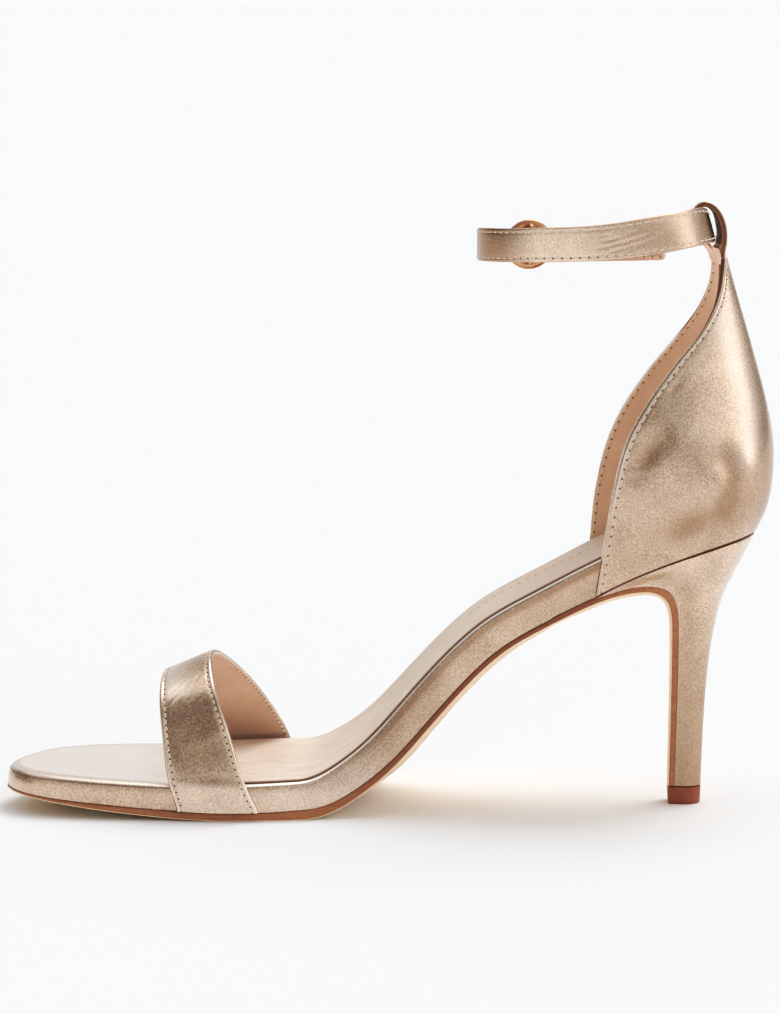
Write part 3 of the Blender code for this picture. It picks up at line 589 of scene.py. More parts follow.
def sockMaterial():
    material, spot = newMaterial("nude_sock_lining")
    streak = spot.noise(3.2, detail=5.0, stretch=(0.4, 1.0, 0.4))
    cloud = spot.noise(22.0)
    pore = spot.noise(0.5, detail=3.0)
    tone = (streak * 0.5 + cloud * 0.25 + pore * 0.25).step(0.33, 0.66)
    colour = tone.blend((0.83, 0.67, 0.54), (0.96, 0.85, 0.735))
    # painted shade, darker towards the heel
    colour = spot.mark("shade").blend(colour, (0.61, 0.445, 0.32))
    raw = spot.mark("cut").step(0.35, 0.65)
    colour = raw.blend(colour, (0.42, 0.24, 0.16))
    return finish(material, (pore + streak, 0.3, 0.06), Base_Color=colour, Roughness=0.5 + (streak - 0.5) * 0.2)


# sock: the outline moved in, cut straight in front, a thin sheet with rounded edges over the cupped top
def makeSock():
    spread = np.sin(np.linspace(0, np.pi / 2, sock["rows"]))
    plan = []
    for (points, inward), front in zip(edgeSamples, (sock["frontMedial"], sock["frontLateral"])):
        line = points + sock["inset"] * inward
        index = np.arange(len(line))
        start = np.interp(front, line[:, 0], index)
        plan.append(sample(line, index, start + (index[-1] - start) * spread))
    width = np.linalg.norm(plan[1] - plan[0], axis=1)
    edge = np.minimum(sock["edge"], 0.4 * width)
    distance, fall = acrossSheet(width, edge, sock)
    sheet = ruled(*plan, (distance / np.maximum(width, 1e-6)[:, None])[..., None])
    base = bedTop(sheet) + sock["lift"]
    rings = bothFaces(place(sheet, base + sock["thick"] - fall), place(sheet, base))
    cut = beside(np.where(fall > sock["rawFrom"] * edge[:, None], 1.0, 0.0), np.ones_like(fall))
    nude = shell(rings, cut=cut, shade=ramp(rings[..., 0], sock["shade"]))
    makePiece("sock_lining", [nude], sockMaterial(), "sock")
    line = through(pick(sockSeam, "x y"), 200)
    height = bedTop(line) + sock["lift"] + sock["thick"]
    seam = place(line, height)
    outward = unit(place(line, height + 1) - seam)
    return [stitchRow(seam - sock["sink"] * outward, outward, sock["pitch"])]


# how far the sole stands out past the footbed, and how far the wrapped wall comes down over it
toeMargin = tableOf("x margin", (-110.5, 0.15), (-104, 0.4), (-85, 0.9))
wrapRows = tableOf("x drop", (-110.5, 0.25), (-90, 0.5), (-35, 0.5), (-25, 0))
# the shade pairs are painted shade on the edge along the waist
outsole = dict(lipX=46.0, waistGap=0.5, waistStart=(-25.0, -18.0), leadStep=10.0, flapSeat=0.26,
               topEdge=0.3, rows=190, crowding=1.5, breastRows=120, edge=0.42, edgeShare=0.42, flatBelow=0.85,
               bends=5, inside=18, shade=((-22, 0), (6, 0.75), (54, 0.75), (68, 0)))
soleThick = tableOf(
    "x thick",
    (-110.5, 0.9), (-95, 1.5), (-80, 2.1), (-62, 2.6), (-50, 2.65), (-22, 2.65), (-8, 2),
    (8, 1.6), (60, 1.4),
)
breastRows = tableOf(
    "x z half thick bulge seat",
    (57.4, 60.45, 21.2, 1.4, 3, 0.3), (64.5, 63.1, 21.5, 1.3, 2.9, 0.5), (71, 64.2, 20.4, 1.3, 2.8, 0.6),
    (75.9, 63.6, 17.6, 1.4, 2.3, 0.95), (79.2, 61, 13.6, 1.6, 1.4, 0.98), (80.8, 56.4, 9.8, 1.8, 0.5, 0.5),
    (81.2, 50, 7.2, 1.8, 0, 0.3), (81.2, 41, 5.6, 1.8, 0, 0.28), (81, 26, 4.7, 1.7, 0, 0.28),
    (80.6, 5.4, 4.2, 1.6, 0, 0.26),
)


def soleMaterial():
    material, spot = newMaterial("sole_brown_board")
    below = spot.mark("below").step(0.4, 0.8)
    speck = spot.noise(0.8, detail=4.0)
    cloud = spot.noise(18.0, detail=3.0)
    fibre = spot.noise(1.2, detail=4.0, stretch=(0.15, 1.0, 1.0))
    edge = (speck * 0.5 + fibre * 0.5).step(0.3, 0.7).blend((0.36, 0.14, 0.06), (0.49, 0.215, 0.1))
    # painted shade: the edge darker along the waist
    edge = spot.mark("shade").blend(edge, (0.25, 0.088, 0.034))
    face = (cloud * 0.6 + speck * 0.4).step(0.3, 0.7).blend((0.93, 0.66, 0.43), (0.97, 0.77, 0.54))
    rough = 0.42 + (speck - 0.5) * 0.2 + below * 0.1
    return finish(material, (speck + fibre, 0.3, 0.08), Base_Color=below.blend(edge, face), Roughness=rough)


# outsole: a sheet under the footbed to the lip, then under the heel's wing and down its breast, edges rounded
def makeOutsole():
    front = last["toeTip"] - toeMargin["margin"][0]
    x = front + (outsole["lipX"] - front) * np.linspace(0, 1, outsole["rows"]) ** outsole["crowding"]
    sides = []
    for points, inward in edgeSamples:
        grown = points - readAt(toeMargin, "margin", points[:, :1]) * inward
        sides.append(np.interp(x, *grown.T))
    width = np.maximum(sides[1] - sides[0], 0.02)
    thick = readAt(soleThick, "thick", x)
    edge = np.minimum(np.minimum(outsole["edge"], outsole["edgeShare"] * thick), 0.45 * width)
    distance, fall = acrossSheet(width, edge, outsole)
    plan = np.stack([x[:, None] + 0 * distance, sides[0][:, None] + distance], axis=-1)
    top = bedBottom(plan) - np.interp(plan[..., 0], outsole["waistStart"], (last["gap"], outsole["waistGap"]))
    over = place(plan, top - readAt(wrapRows, "drop", plan[..., 0]) - outsole["topEdge"] * fall)
    under = place(plan, top - thick[:, None] + fall)
    lead = outsole["lipX"] - outsole["leadStep"] * np.array([2, 1, 0])
    leadThick = readAt(soleThick, "thick", lead)
    leadLow = place(np.stack([lead, 0 * lead], axis=-1), -outsole["waistGap"] - leadThick)
    leadSides = [np.interp(lead, x, side) for side in sides]
    seat = outsole["flapSeat"] + 0 * lead
    start = [leadLow[:, 0], leadLow[:, 2], *leadSides, leadThick, heightOf("crown", lead), seat]
    flap = pick(breastRows, "x z half half thick bulge seat") * [1, 1, -1, 1, 1, 1, 1]
    path = np.concatenate([np.stack(start, axis=-1), flap])
    far = lengths(path[:, :2])
    at = far[2] + (far[-1] - far[2]) * np.linspace(0, 1, outsole["breastRows"])[1:]
    flapX, flapZ, left, right, flapThick, bulge, seat = spline(far, path, at).T[..., None]
    along = unit(spline(far, path[:, :2], at + last["step"]) - spline(far, path[:, :2], at - last["step"]))
    flapWidth = (right - left)[:, 0]
    flapEdge = np.minimum(outsole["edge"], outsole["edgeShare"] * flapThick[:, 0])
    flapAcross, flapFall = acrossSheet(flapWidth, flapEdge, outsole)
    roundOff = 1 - (2 * flapAcross / flapWidth[:, None] - 1) ** 2
    rise = np.stack([-along[:, 1], 0 * along[:, 0], along[:, 0]], axis=-1)[:, None]
    y = left + flapAcross
    rim = np.stack([flapX + 0 * y, y, flapZ + 0 * y], axis=-1)
    low = rim + rise * (flapFall - bulge * roundOff)[..., None]
    crown = heightOf("crown", flapX) * roundOff
    high = rim + rise * (flapThick + seat - crown - outsole["topEdge"] * flapFall)[..., None]
    rings = np.concatenate([bothFaces(over, under), bothFaces(high, low)])
    falls = np.concatenate([fall, flapFall])
    flat = falls < outsole["flatBelow"] * np.concatenate([edge, flapEdge])[:, None]
    marks = dict(below=bothFaces(0 * falls, np.where(flat, 1.0, 0.0)), shade=ramp(rings[..., 0], outsole["shade"]))
    makePiece("brown_outsole", [shell(rings, **marks)], soleMaterial(), "outsole")


# sections of a heel end: an elliptic back that runs into straight sides; around is -1 and 1 at the front edges
def roundBack(rows, at, around):
    index = np.arange(len(rows["frontX"]))
    where = at * index[-1]
    values = spline(index, pick(rows, "frontX frontZ backX backZ widest front reach arch"), where)
    frontX, frontZ, backX, backZ, widest, front, reach, arch = values.T[..., None]
    wrap, twist = [np.interp(where, index, rows[name])[:, None] for name in ("wrap", "twist")]
    wrap = np.radians(wrap)
    reach = np.minimum(reach, 1.0)
    bendShare = 0.45 + 0.55 * reach**3
    t = np.abs(around)[None, :]
    bend = np.minimum(t / bendShare, 1.0) * wrap
    rest = np.clip((t - bendShare) / np.maximum(1 - bendShare, 1e-6), 0, 1)
    forward = reach * (1 - np.cos(bend)) / (1 - np.cos(wrap)) + (1 - reach) * rest
    half = widest * np.sin(bend) / np.sin(wrap) + (front - widest) * smooth(rest)
    y = half * np.sign(around)[None, :]
    x = backX + (frontX - backX) * forward + twist * y
    z = backZ + (frontZ - backZ) * forward + 4 * arch * forward * (1 - forward)
    return np.stack([x, y, z], axis=-1)


# the shade pairs, by height, are painted shade, darker towards the tip
heel = dict(rows=170, around=131, round=0.7, shade=((5, 0.75), (40, 0.5), (62, 0.08)))
heelRows = tableOf(
    "frontX frontZ backX backZ widest front reach arch wrap twist",
    (82.5, 5.4, 90.3, 5.4, 4.7, 4.1, 0.55, 0, 90, 0),
    (83.05, 26, 91.1, 26, 4.9, 4.6, 0.55, 0, 90, 0),
    (83.35, 41, 92.3, 41, 5.9, 5.5, 0.55, 0, 90, 0),
    (83.35, 50, 93.8, 51, 7.7, 7.1, 0.55, 0, 90, 0),
    (83.05, 57.1, 96.1, 60.2, 11.2, 9.8, 0.55, 0.2, 90, 0),
    (81.3, 62.6, 99.1, 66.9, 15.4, 13.7, 0.55, 0.6, 90, 0),
    (77.3, 65.6, 101.9, 72.4, 19.4, 17.7, 0.55, 1.2, 90, 0),
    (71.5, 66.15, 103.8, 76.3, 22.6, 20.5, 0.55, 1.8, 90, 0),
    (64.7, 65.05, 105.1, 78.8, 24.4, 22.8, 0.55, 2.2, 90, 0),
    (58.9, 63.4, 105.6, 79.75, 24.9, 24, 0.55, 2.4, 90, 0),
)


# heel: sections from tip to seat, the seat's edge turned in by a quarter round
def makeHeel():
    rings = roundBack(heelRows, np.linspace(0, 1, heel["rows"]), np.linspace(-1, 1, heel["around"]))
    drop = np.linalg.norm(rings - rings[-1:], axis=-1, keepdims=True)
    toMiddle = (rings.mean(axis=1, keepdims=True) - rings) * [1, 1, 0]
    rings = rings + roundFall(drop, heel["round"]) * unit(toMiddle)
    # a lighter copy of the gold, as painted light
    foil = leather("heel_foil", dict(gold, roughness=0.32, light=(0.95, 0.735, 0.55), deep=(0.52, 0.355, 0.24)))
    shade = ramp(rings[..., 2], heel["shade"])
    makePiece("covered_heel", [shell(rings, shade=shade)], foil, "heel")


tip = dict(top=5.1, taper=0.25, bevel=0.35, around=61, flapX=80.6)


def tipMaterial():
    material, spot = newMaterial("tip_hard_rubber")
    speck = spot.noise(0.6, detail=4.0)
    scuff = spot.noise(2.5, detail=3.0, stretch=(1.0, 1.0, 0.3))
    colour = (speck * 0.5 + scuff * 0.5).step(0.3, 0.7).blend((0.27, 0.072, 0.03), (0.36, 0.107, 0.046))
    return finish(material, (speck, 0.25, 0.06), Base_Color=colour, Roughness=0.38 + scuff * 0.2)


# heel tip: the foot of heel and flap carried down to the floor, edges bevelled
def makeTip():
    foot = roundBack(heelRows, np.zeros(1), np.linspace(-1, 1, tip["around"]))[0]
    foot[:, 0] = np.where(foot[:, 0] < heelRows["frontX"][0] + last["gap"], tip["flapX"], foot[:, 0])
    middle = (foot.max(axis=0) + foot.min(axis=0)) / 2
    size = (foot.max(axis=0) - foot.min(axis=0)) / 2
    turn = np.linspace(0, np.pi / 2, 5)
    z = np.concatenate([tip["bevel"] * (1 - np.cos(turn)), tip["top"] - tip["bevel"] * (1 - np.sin(turn))])
    cut = np.concatenate([tip["bevel"] * (1 - np.sin(turn)), tip["bevel"] * (1 - np.cos(turn))])
    share = 1 - (cut[:, None] + tip["taper"] * (1 - z[:, None] / tip["top"])) / size[None, :2]
    flat = middle[:2] + (foot[None, :, :2] - middle[:2]) * share[:, None]
    rings = np.concatenate([flat, np.broadcast_to(z[:, None, None], (*flat.shape[:2], 1))], axis=-1)
    makePiece("heel_tip_piece", [shell(rings)], tipMaterial(), "heel_tip")


# triples are a bell's peak, middle and width, pairs a height and the value there, in mm
# several of the values below paint light and shade: a highlight along the edges, a painted reflection patch on the
# inner side, painted light low on the band and painted shade on the far lining low down
vamp = dict(pitch=1.95, inset=1.55, liningInset=0.9, liningFrom=0.35, rows=230, thick=1.6, bends=7, inside=44,
            hug=-1.5, ease=4.0, foot=0.42, pillow=0.3, groove=0.2, lip=(0.22, 0.6, 0.7), edgeHighlight=(0.4, 0.5, 0.5),
            hotSpotUp=(0.55, 37.5, 3.5), hotSpotIn=(1, 4, 5),
            footLight=((9, 0.14), (15, 0)), deepIn=((12, 0.75), (26, 0)))
vampRows = tableOf(
    "frontX frontY frontZ rearX rearY rearZ",
    (-60.8, -32.9, 4, -37.4, -32.8, 3.2), (-62.3, -32.85, 8.8, -39.9, -32.8, 8.2),
    (-64.9, -29.5, 24.2, -45.4, -29.7, 24.6), (-65.9, -24.6, 33.8, -49.2, -25.4, 35.6),
    (-66, -16, 38.6, -51.1, -16.8, 42.8), (-65.2, -5, 39.5, -51, -5.2, 45.4),
    (-62.2, 8.5, 37.2, -47, 9.4, 41.2), (-58, 21.5, 30.6, -40.6, 23.4, 32.4),
    (-54.4, 33, 20.8, -34.4, 35.2, 21.6), (-51.6, 41.4, 10.8, -29.8, 42.8, 10.8),
    (-50.6, 42.2, 3.4, -27.6, 43, 3.2),
)
# a runs along the band in mm from its inner end, b across it from its front edge
vampCreases = tableOf(
    "a b turn long wide deep",
    (29, 4, 42, 2.2, 0.35, 0.13), (31, 5, 36, 2.4, 0.4, 0.15), (33, 4.2, 40, 2.2, 0.35, 0.13),
    (35, 5.5, 34, 2.4, 0.4, 0.15), (37, 4.6, 44, 2.2, 0.35, 0.12), (30, 7.5, 48, 2, 0.35, 0.12),
    (32.5, 8.2, 40, 2.4, 0.4, 0.15), (35, 9, 36, 2.2, 0.35, 0.12), (38, 8, 38, 2.4, 0.4, 0.12),
    (27, 10.5, 55, 2.2, 0.35, 0.1), (33, 12, 46, 2.4, 0.4, 0.1), (40, 11, 30, 2.4, 0.35, 0.1),
    (22, 13, 68, 7, 2.2, -0.12),
)
# painted shade on the band by height: through the middle and over the top
vampShade = tableOf(
    "z shade",
    (8.5, 0), (12, 0.1), (20, 0.12), (30, 0.1), (34, 0), (40, 0.05), (42, 0.35), (46, 0.6),
)


# toe band: a sheet ruled between its front and rear edge, both ends hugging the footbed's wall; full round edges
def makeVamp():
    edges = "frontX frontY frontZ", "rearX rearY rearZ"
    front, rear = [through(pick(vampRows, names), vamp["rows"]) for names in edges]
    width = np.linalg.norm(rear - front, axis=1)
    distance, fall = acrossSheet(width, np.full(vamp["rows"], vamp["thick"] / 2), vamp)
    t = distance / width[:, None]
    face = ruled(front, rear, t[..., None])
    inward = unit(np.cross(unit(np.gradient(face, axis=0)), (rear - front)[:, None]))
    near = np.minimum(distance, width[:, None] - distance)
    run = lengths((front + rear) / 2)[:, None] + 0 * distance
    swell = vamp["pillow"] * (0.5 - (2 * t - 1) ** 4) + bell(near, *vamp["lip"])
    swell = swell - bell(near, vamp["groove"], vamp["inset"], thread["groove"]) + creases(vampCreases, run, distance)
    sheets = []
    for depth, room in ((fall - swell, last["gap"] + vamp["thick"] - fall), (vamp["thick"] - fall, last["gap"] + fall)):
        sheet = face + depth[..., None] * inward
        x, y, z = np.moveaxis(sheet, -1, 0)
        bedHeight = feather(x) + heightOf("thick", x) + vamp["hug"]
        low = smooth(np.clip((bedHeight + vamp["ease"] - z) / vamp["ease"], 0, 1))
        edgeInner, edgeOuter = edgesAt(x)
        wall = np.where(y < 0, np.minimum(y, edgeInner - room), np.maximum(y, edgeOuter + room))
        sheet[..., 1] = y + low * (wall - y)
        sheet[[0, -1], :, 2] = feather(x[[0, -1]]) - vamp["foot"]
        sheets.append(sheet)
    outer, inner = sheets
    rings = bothFaces(outer, inner)
    stitches, runs = seamRows(vamp, outer, inner, inward, distance)
    frontHalf = t < 0.5
    # painted highlight along the edges and as a reflection patch on the inner side, painted light low on the band,
    # painted shade on the far lining low down
    hotSpot = bell(outer[..., 2], *vamp["hotSpotUp"]) * bell(distance, *vamp["hotSpotIn"]) * (outer[..., 1] < 0)
    rubbed = bell(near, *vamp["edgeHighlight"]) + hotSpot * np.clip(near - 1, 0, 1) + ramp(outer[..., 2], vamp["footLight"])
    deepIn = ramp(inner[..., 2], vamp["deepIn"]) * (inner[..., 1] > 0)
    marks = dict(
        lining=bothFaces(0 * near, np.where(near > vamp["liningFrom"], 1.0, 0.0)), rubbed=beside(rubbed, 0 * near),
        rim=bothFaces(near, near + vamp["inset"] - vamp["liningInset"]),
        shade=bothFaces(readAt(vampShade, "shade", outer[..., 2]), deepIn),
        run=bothFaces(np.where(frontHalf, runs[0], runs[2]), np.where(frontHalf, runs[1], runs[3])),
    )
    inside = dict(light=(0.86, 0.62, 0.485), deep=(0.75, 0.5, 0.375), dim=(0.5, 0.355, 0.27), roughness=0.5)
    skin = leather("toe_band_leather", gold, inside, seam=vamp)
    makePiece("toe_band", [shell(rings, **marks)], skin, "vamp_strap")
    return stitches


# triples and pairs as in the toe band; backShade goes by the shoe's length
# several of the values below paint light and shade: a highlight stripe on the inner back, a lighter band along the
# front edges, and painted shade in the dents, low down and at the back
counter = dict(pitch=2.8, inset=1.6, liningInset=0.9, seamRows=(8, -6), rows=150, around=171, bends=7,
               footShare=0.012, footRows=5, wall=2.0, round=0.6, lip=0.3, lipPower=0.7, groove=0.08, noSeam=9,
               bareFoot=0.3, middle=(80.0, 0.0, 0.0), hotSpot=(0.35, 0, 3.5), lighter=(1, 0.9, 0.6),
               highlightLow=0.1, highlightHigh=0.4, dentShade=0.8, dentLimit=0.6, dentSide=6, dentRim=3,
               hotSpotSpan=((98, 0), (104, 1), (146, 1), (152, 0)), paleLip=((93, 0), (98, 1), (134, 1), (139, 0)),
               brownLip=((74, 1), (76, 0), (93, 0), (98, 1)), scored=((84, 0), (98, 1)),
               lowShade=((78, 0.28), (96, 0.12), (112, 0)), backShade=((102, 0), (108, 0.5)))
counterRows = tableOf(
    "frontX frontZ backX backZ widest front reach arch wrap twist",
    (58.9, 63.8, 105.7, 80.1, 24.9, 24, 0.55, 2.4, 90, -0.01),
    (59.7, 74, 108.5, 86.4, 25.7, 24.7, 0.55, 1.6, 90, -0.04),
    (61.1, 86, 110, 93, 26.1, 25.1, 0.56, 0.8, 90, -0.055),
    (63.6, 99, 110.6, 101.5, 25.7, 24.9, 0.60, 0.2, 90, -0.05),
    (67.6, 110.5, 109.8, 111, 24.2, 23.9, 0.75, 0, 90, -0.04),
    (74.1, 121.4, 107.5, 121.4, 21.4, 21.4, 0.95, 0, 88, -0.045),
    (81.2, 130.8, 104.9, 130.8, 17.8, 17.8, 1, 0, 84, -0.06),
    (87.8, 139, 102.5, 139, 13.4, 13.4, 1, 0, 76, -0.11),
    (92.1, 146.2, 100.3, 146.2, 9.6, 9.6, 1, 0, 66, -0.15),
    (94.3, 152.6, 98.5, 152.6, 7.3, 7.3, 1, 0, 54, -0.14),
    (95.2, 159, 96.7, 159, 6.2, 6.2, 1, 0, 40, -0.14),
)
# a is the shoe's length and b its height, in mm, on the inner side
counterCreases = tableOf(
    "a b turn long wide deep",
    (74.6, 106.2, 59, 7, 3.4, 0.7), (97.5, 101, 112, 7, 3.8, 0.8), (97, 91, 80, 6, 3.6, 0.85),
    (67, 101, 8, 4, 0.6, 0.06), (68, 103.5, 4, 4, 0.6, 0.06), (71, 98.5, 14, 4.5, 0.7, 0.05),
    (84, 114, 58, 9, 5, -0.2), (86.5, 85.2, 24, 9, 3.8, 0.75), (82, 124.5, 50, 3.5, 1.2, 0.2),
    (91.5, 97.5, 20, 4.5, 3.6, -0.4),
)
# middle of the painted highlight stripe on the inner side
hotStripeRows = tableOf(
    "z x",
    (102, 101.9), (110, 103.4), (118, 102.4), (126, 99.8), (134, 96.8), (144, 94.3),
)
loop = dict(halfWidth=6.0, edge=0.3, points=180, bends=4, inside=9, foldEnds=0.72, rawFrom=0.7, darkInsideFrom=162.8)
loopBow = tableOf(
    "z bow twist roll lead",
    (152.6, 4.2, -0.14, 0, 0), (159, 1.5, -0.14, 0, 0), (163, 0.3, -0.09, -0.03, -0.2),
    (168, 0, -0.07, -0.08, -0.42), (172, 0, -0.02, -0.08, -0.12), (175, 0, 0, -0.08, 0),
)
loopOuter = tableOf(
    "x z",
    (97, 157.2), (96.4, 160.2), (96.6, 164.9), (95.7, 170.1), (94, 172.9), (91.8, 174.6), (89.8, 175),
    (87.9, 174.2), (86.6, 172.4), (86.2, 170), (86.9, 166.4), (89.3, 163.6), (92, 161.4), (94, 159.3),
    (95.2, 157.6), (97, 157.2),
)
loopHole = tableOf(
    "x z",
    (94.4, 161.8), (94.8, 164.4), (94.7, 167.2), (93.8, 170.1), (92.4, 172.5), (90.8, 173.4), (89.3, 173.2),
    (88.2, 172), (87.9, 169.8), (88.5, 166.8), (90.6, 164.1), (92.9, 162.2), (94.4, 161.8),
)


def seatHeight(x):  # lower edge of the heel cup, seen from the side
    foot = {name: column[0] for name, column in counterRows.items()}
    forward = (x - foot["backX"]) / (foot["frontX"] - foot["backX"])
    return foot["backZ"] + (foot["frontZ"] - foot["backZ"]) * forward + 4 * foot["arch"] * forward * (1 - forward)


# heel cup: rounded sections from seat to neck, a wall set in by its thickness, half round lips along the front edges
def cupShell():
    foot = np.linspace(0, counter["footShare"], counter["footRows"], endpoint=False)
    at = np.concatenate([foot, np.linspace(counter["footShare"], 1, counter["rows"])])
    around = np.linspace(-1, 1, counter["around"])
    plain = roundBack(counterRows, at, around)
    x, y, z = np.moveaxis(plain, -1, 0)
    inward = unit(np.cross(unit(np.gradient(plain, axis=0)), unit(np.gradient(plain, axis=1))))
    inward *= np.sign(np.sum(inward * (np.array(counter["middle"]) - plain) * [1, 1, 0], axis=-1))[..., None]
    climb, fromLeft = lengths(plain), lengths(plain, axis=1)
    rim = np.minimum(fromLeft, fromLeft[:, -1:] - fromLeft)
    innerSide = np.clip(-y / counter["dentSide"], 0, 1) * np.clip(rim / counter["dentRim"], 0, 1)
    dents = creases(counterCreases, x, z) * innerSide
    seamGroove = bell(rim, counter["groove"], counter["inset"], thread["groove"])
    outer = plain + (roundFall(climb, counter["round"]) - dents + seamGroove)[..., None] * inward
    outer[0, :, 2] -= last["gap"]
    inner = plain + counter["wall"] * inward
    inner[0, :, 2] = seatHeight(inner[0, :, 0])
    turn = np.linspace(0, np.pi, counter["bends"] + 2)[1:-1]
    swing = (np.sign(np.cos(turn)) * np.abs(np.cos(turn)) ** counter["lipPower"])[:, None]
    reach = counter["lip"] * np.sin(turn)[:, None] ** counter["lipPower"]
    lips = []
    for end, back in ((-1, -3), (0, 2)):
        forward = unit(plain[:, end] - plain[:, back])[:, None]
        middle, arm = [(outer[:, end] + sign * inner[:, end])[:, None] / 2 for sign in (1, -1)]
        lips.append(middle + swing * arm + reach * forward)
    rings = beside(outer, lips[0], inner[:, ::-1], lips[1][:, ::-1])
    stitches, runs = seamRows(counter, outer, inner, inward, fromLeft)
    zero, one, lipOne = np.zeros_like(rim), np.ones_like(rim), np.ones((len(at), len(turn)))

    def onRing(outside=zero, lip=0 * lipOne, inside=zero):
        return beside(outside, lip, inside[:, ::-1], lip[:, ::-1])

    # painted highlight: the stripe and a lighter band along the front edges; painted shade in the dents, low down and
    # at the back
    hotSpot = bell(x - readAt(hotStripeRows, "x", z), *counter["hotSpot"]) * ramp(z, counter["hotSpotSpan"]) * (y < 0)
    scored = ramp(z, counter["scored"])  # lower down the front edge is plain
    shade = np.clip(-counter["dentShade"] * dents, 0, counter["dentLimit"])
    shade = shade + (ramp(z, counter["lowShade"]) + ramp(x, counter["backShade"]))
    edgeHighlight = counter["highlightLow"] + (counter["highlightHigh"] - counter["highlightLow"]) * scored
    marks = dict(
        shade=onRing(shade), score=onRing(scored),
        lining=onRing(inside=one), layer=onRing(lip=lipOne * turn / np.pi, inside=one),
        rubbed=onRing(np.maximum(edgeHighlight * bell(rim, *counter["lighter"]), hotSpot)),
        lip=onRing(lip=lipOne * ramp(z[:, :1], counter["paleLip"])),
        # raw-edge brown on the lip: the raw edge up top, and low down, where it meets the footbed, painted shade of the
        # gap
        cut=onRing(np.where(climb < counter["bareFoot"], 1.0, 0.0), lipOne * ramp(z[:, :1], counter["brownLip"])),
        rim=onRing(rim, counter["noSeam"] * lipOne, rim + counter["inset"] - counter["liningInset"]),
        run=onRing(np.where(around < 0, runs[0], runs[2]), inside=np.where(around < 0, runs[1], runs[3])),
    )
    return shell(rings, **marks), stitches


# loop: the neck's band folded forward over the strap, its side view carried across the band
def loopShell():
    lines = [through(pick(rows, "x z"), loop["points"] + 1)[:-1] for rows in (loopOuter, loopHole)]
    middle = lines[1].mean(axis=0)
    sides, falls = acrossSheet([2 * loop["halfWidth"]], [loop["edge"]], loop)
    y, fall = sides.T - loop["halfWidth"], falls.T
    rings = []
    for line, turn in zip(lines, (1, -1)):
        spot = line + turn * fall[..., None] * unit(middle - line)
        bow, twist, roll, lead = [readAt(loopBow, name, spot[..., 1]) for name in ("bow", "twist", "roll", "lead")]
        x = spot[..., 0] + lead + twist * y - bow * (y / loop["halfWidth"]) ** 2
        rings.append(np.stack([x, y + 0 * x, spot[..., 1] + roll * y], axis=-1)[::turn])
    share = np.arange(loop["points"]) / loop["points"]
    raw = np.where(fall > loop["rawFrom"] * loop["edge"], 1.0, 0.0) * (share < loop["foldEnds"])
    none = 0 * raw
    bare = np.maximum(raw[::-1], lines[1][:, 1] > loop["darkInsideFrom"])  # raw edges, and high inside the hole raw-edge brown as painted shade of the lining
    lining = np.concatenate([none + (share > loop["foldEnds"]), none + 1])
    marks = dict(cut=np.concatenate([raw, bare]), lining=lining, layer=np.concatenate([none, none + 1]),
                 rim=0 * lining + counter["noSeam"])
    return shell(np.concatenate(rings), closeRows=True, **marks)


def makeCounter():
    cup, stitches = cupShell()
    inside = dict(light=(0.95, 0.68, 0.5), deep=(0.86, 0.57, 0.4), dim=(0.6, 0.37, 0.25), roughness=0.45)
    rawEdge = dict(light=(0.34, 0.16, 0.085), deep=(0.24, 0.105, 0.053), line=(0.08, 0.032, 0.016),
                   pale=(0.93, 0.82, 0.72), palest=(0.98, 0.92, 0.86), joint=0.45, scored=0.4)
    skin = leather("heel_cup_leather", gold, inside, rawEdge, counter)
    makePiece("heel_cup_and_loop", [cup, loopShell()], skin, "heel_counter")
    return stitches


buckle = dict(centre=(40.4, 27.8, 160.0), along=(0.985, 0.172), ring=5.9, radial=1.35, depth=0.8,
              ringSteps=128, sectionSteps=24, barRadius=0.8, barPoints=90, prongRadius=0.6, prongPoints=70)
strap = dict(pitch=2.5, inset=1.15, liningInset=1.15, rows=420, thick=1.8, edge=0.4, bends=4, inside=22, crown=0.12,
             groove=0.06, rawFrom=0.75, innerFrom=10, innerFade=20, creaseRim=1.5,
             chapeLength=10.5, chapeThick=1.6, chapeStep=1.5, tipRound=0.6)
strapRound = tableOf(
    "x y z lean width",
    (63, 25.6, 160.4, 6, 9.2), (72.6, 23.6, 161.8, 8, 9.4), (81.6, 18.4, 164.2, 11, 9.6),
    (87.4, 11.4, 166.3, 14, 9.6), (90.4, 5.2, 167.4, 16, 8.8), (91.3, -1, 167.9, 16, 8.7),
    (91.1, -6.5, 168.5, 15, 9.6), (89.2, -13, 169.1, 13, 10.6), (84.6, -19.6, 168.8, 10, 10.6),
    (76.3, -25, 167.7, 6, 10.8), (66, -27.7, 166.3, 4, 10.4), (54.5, -27.7, 165.3, 2, 10),
    (43.4, -25.4, 164.8, 2, 9.8), (34.2, -19, 164.1, 3, 9.6), (28.2, -10.8, 163.5, 2, 9.5),
    (26, -1, 162.7, 0, 9.4), (27, 9, 161.7, 1, 9.2), (30.4, 17.6, 160.8, 2, 9),
)
strapChape = tableOf(
    "along out up lean width",
    (1.5, -4.1, -0.1, 0, 8.6), (6.5, -4.1, -0.3, 0, 8.6), (12.5, -4.2, -0.3, 2, 8.8),
)
strapTail = tableOf(
    "along out up lean width",
    (-7.5, -2.55, 0.1, 0, 8.9), (-3.5, -2.05, 0, 0, 8.8), (1, -1.95, -0.1, 0, 8.8),
    (6.5, -2.05, -0.3, 0, 8.8), (12.5, -2.45, -0.5, 2, 8.8), (22.5, -3.4, -0.5, 4, 8.8),
    (32.5, -6.6, -0.2, 6, 8.8), (38, -9.8, 0.1, 7, 8.6),
)
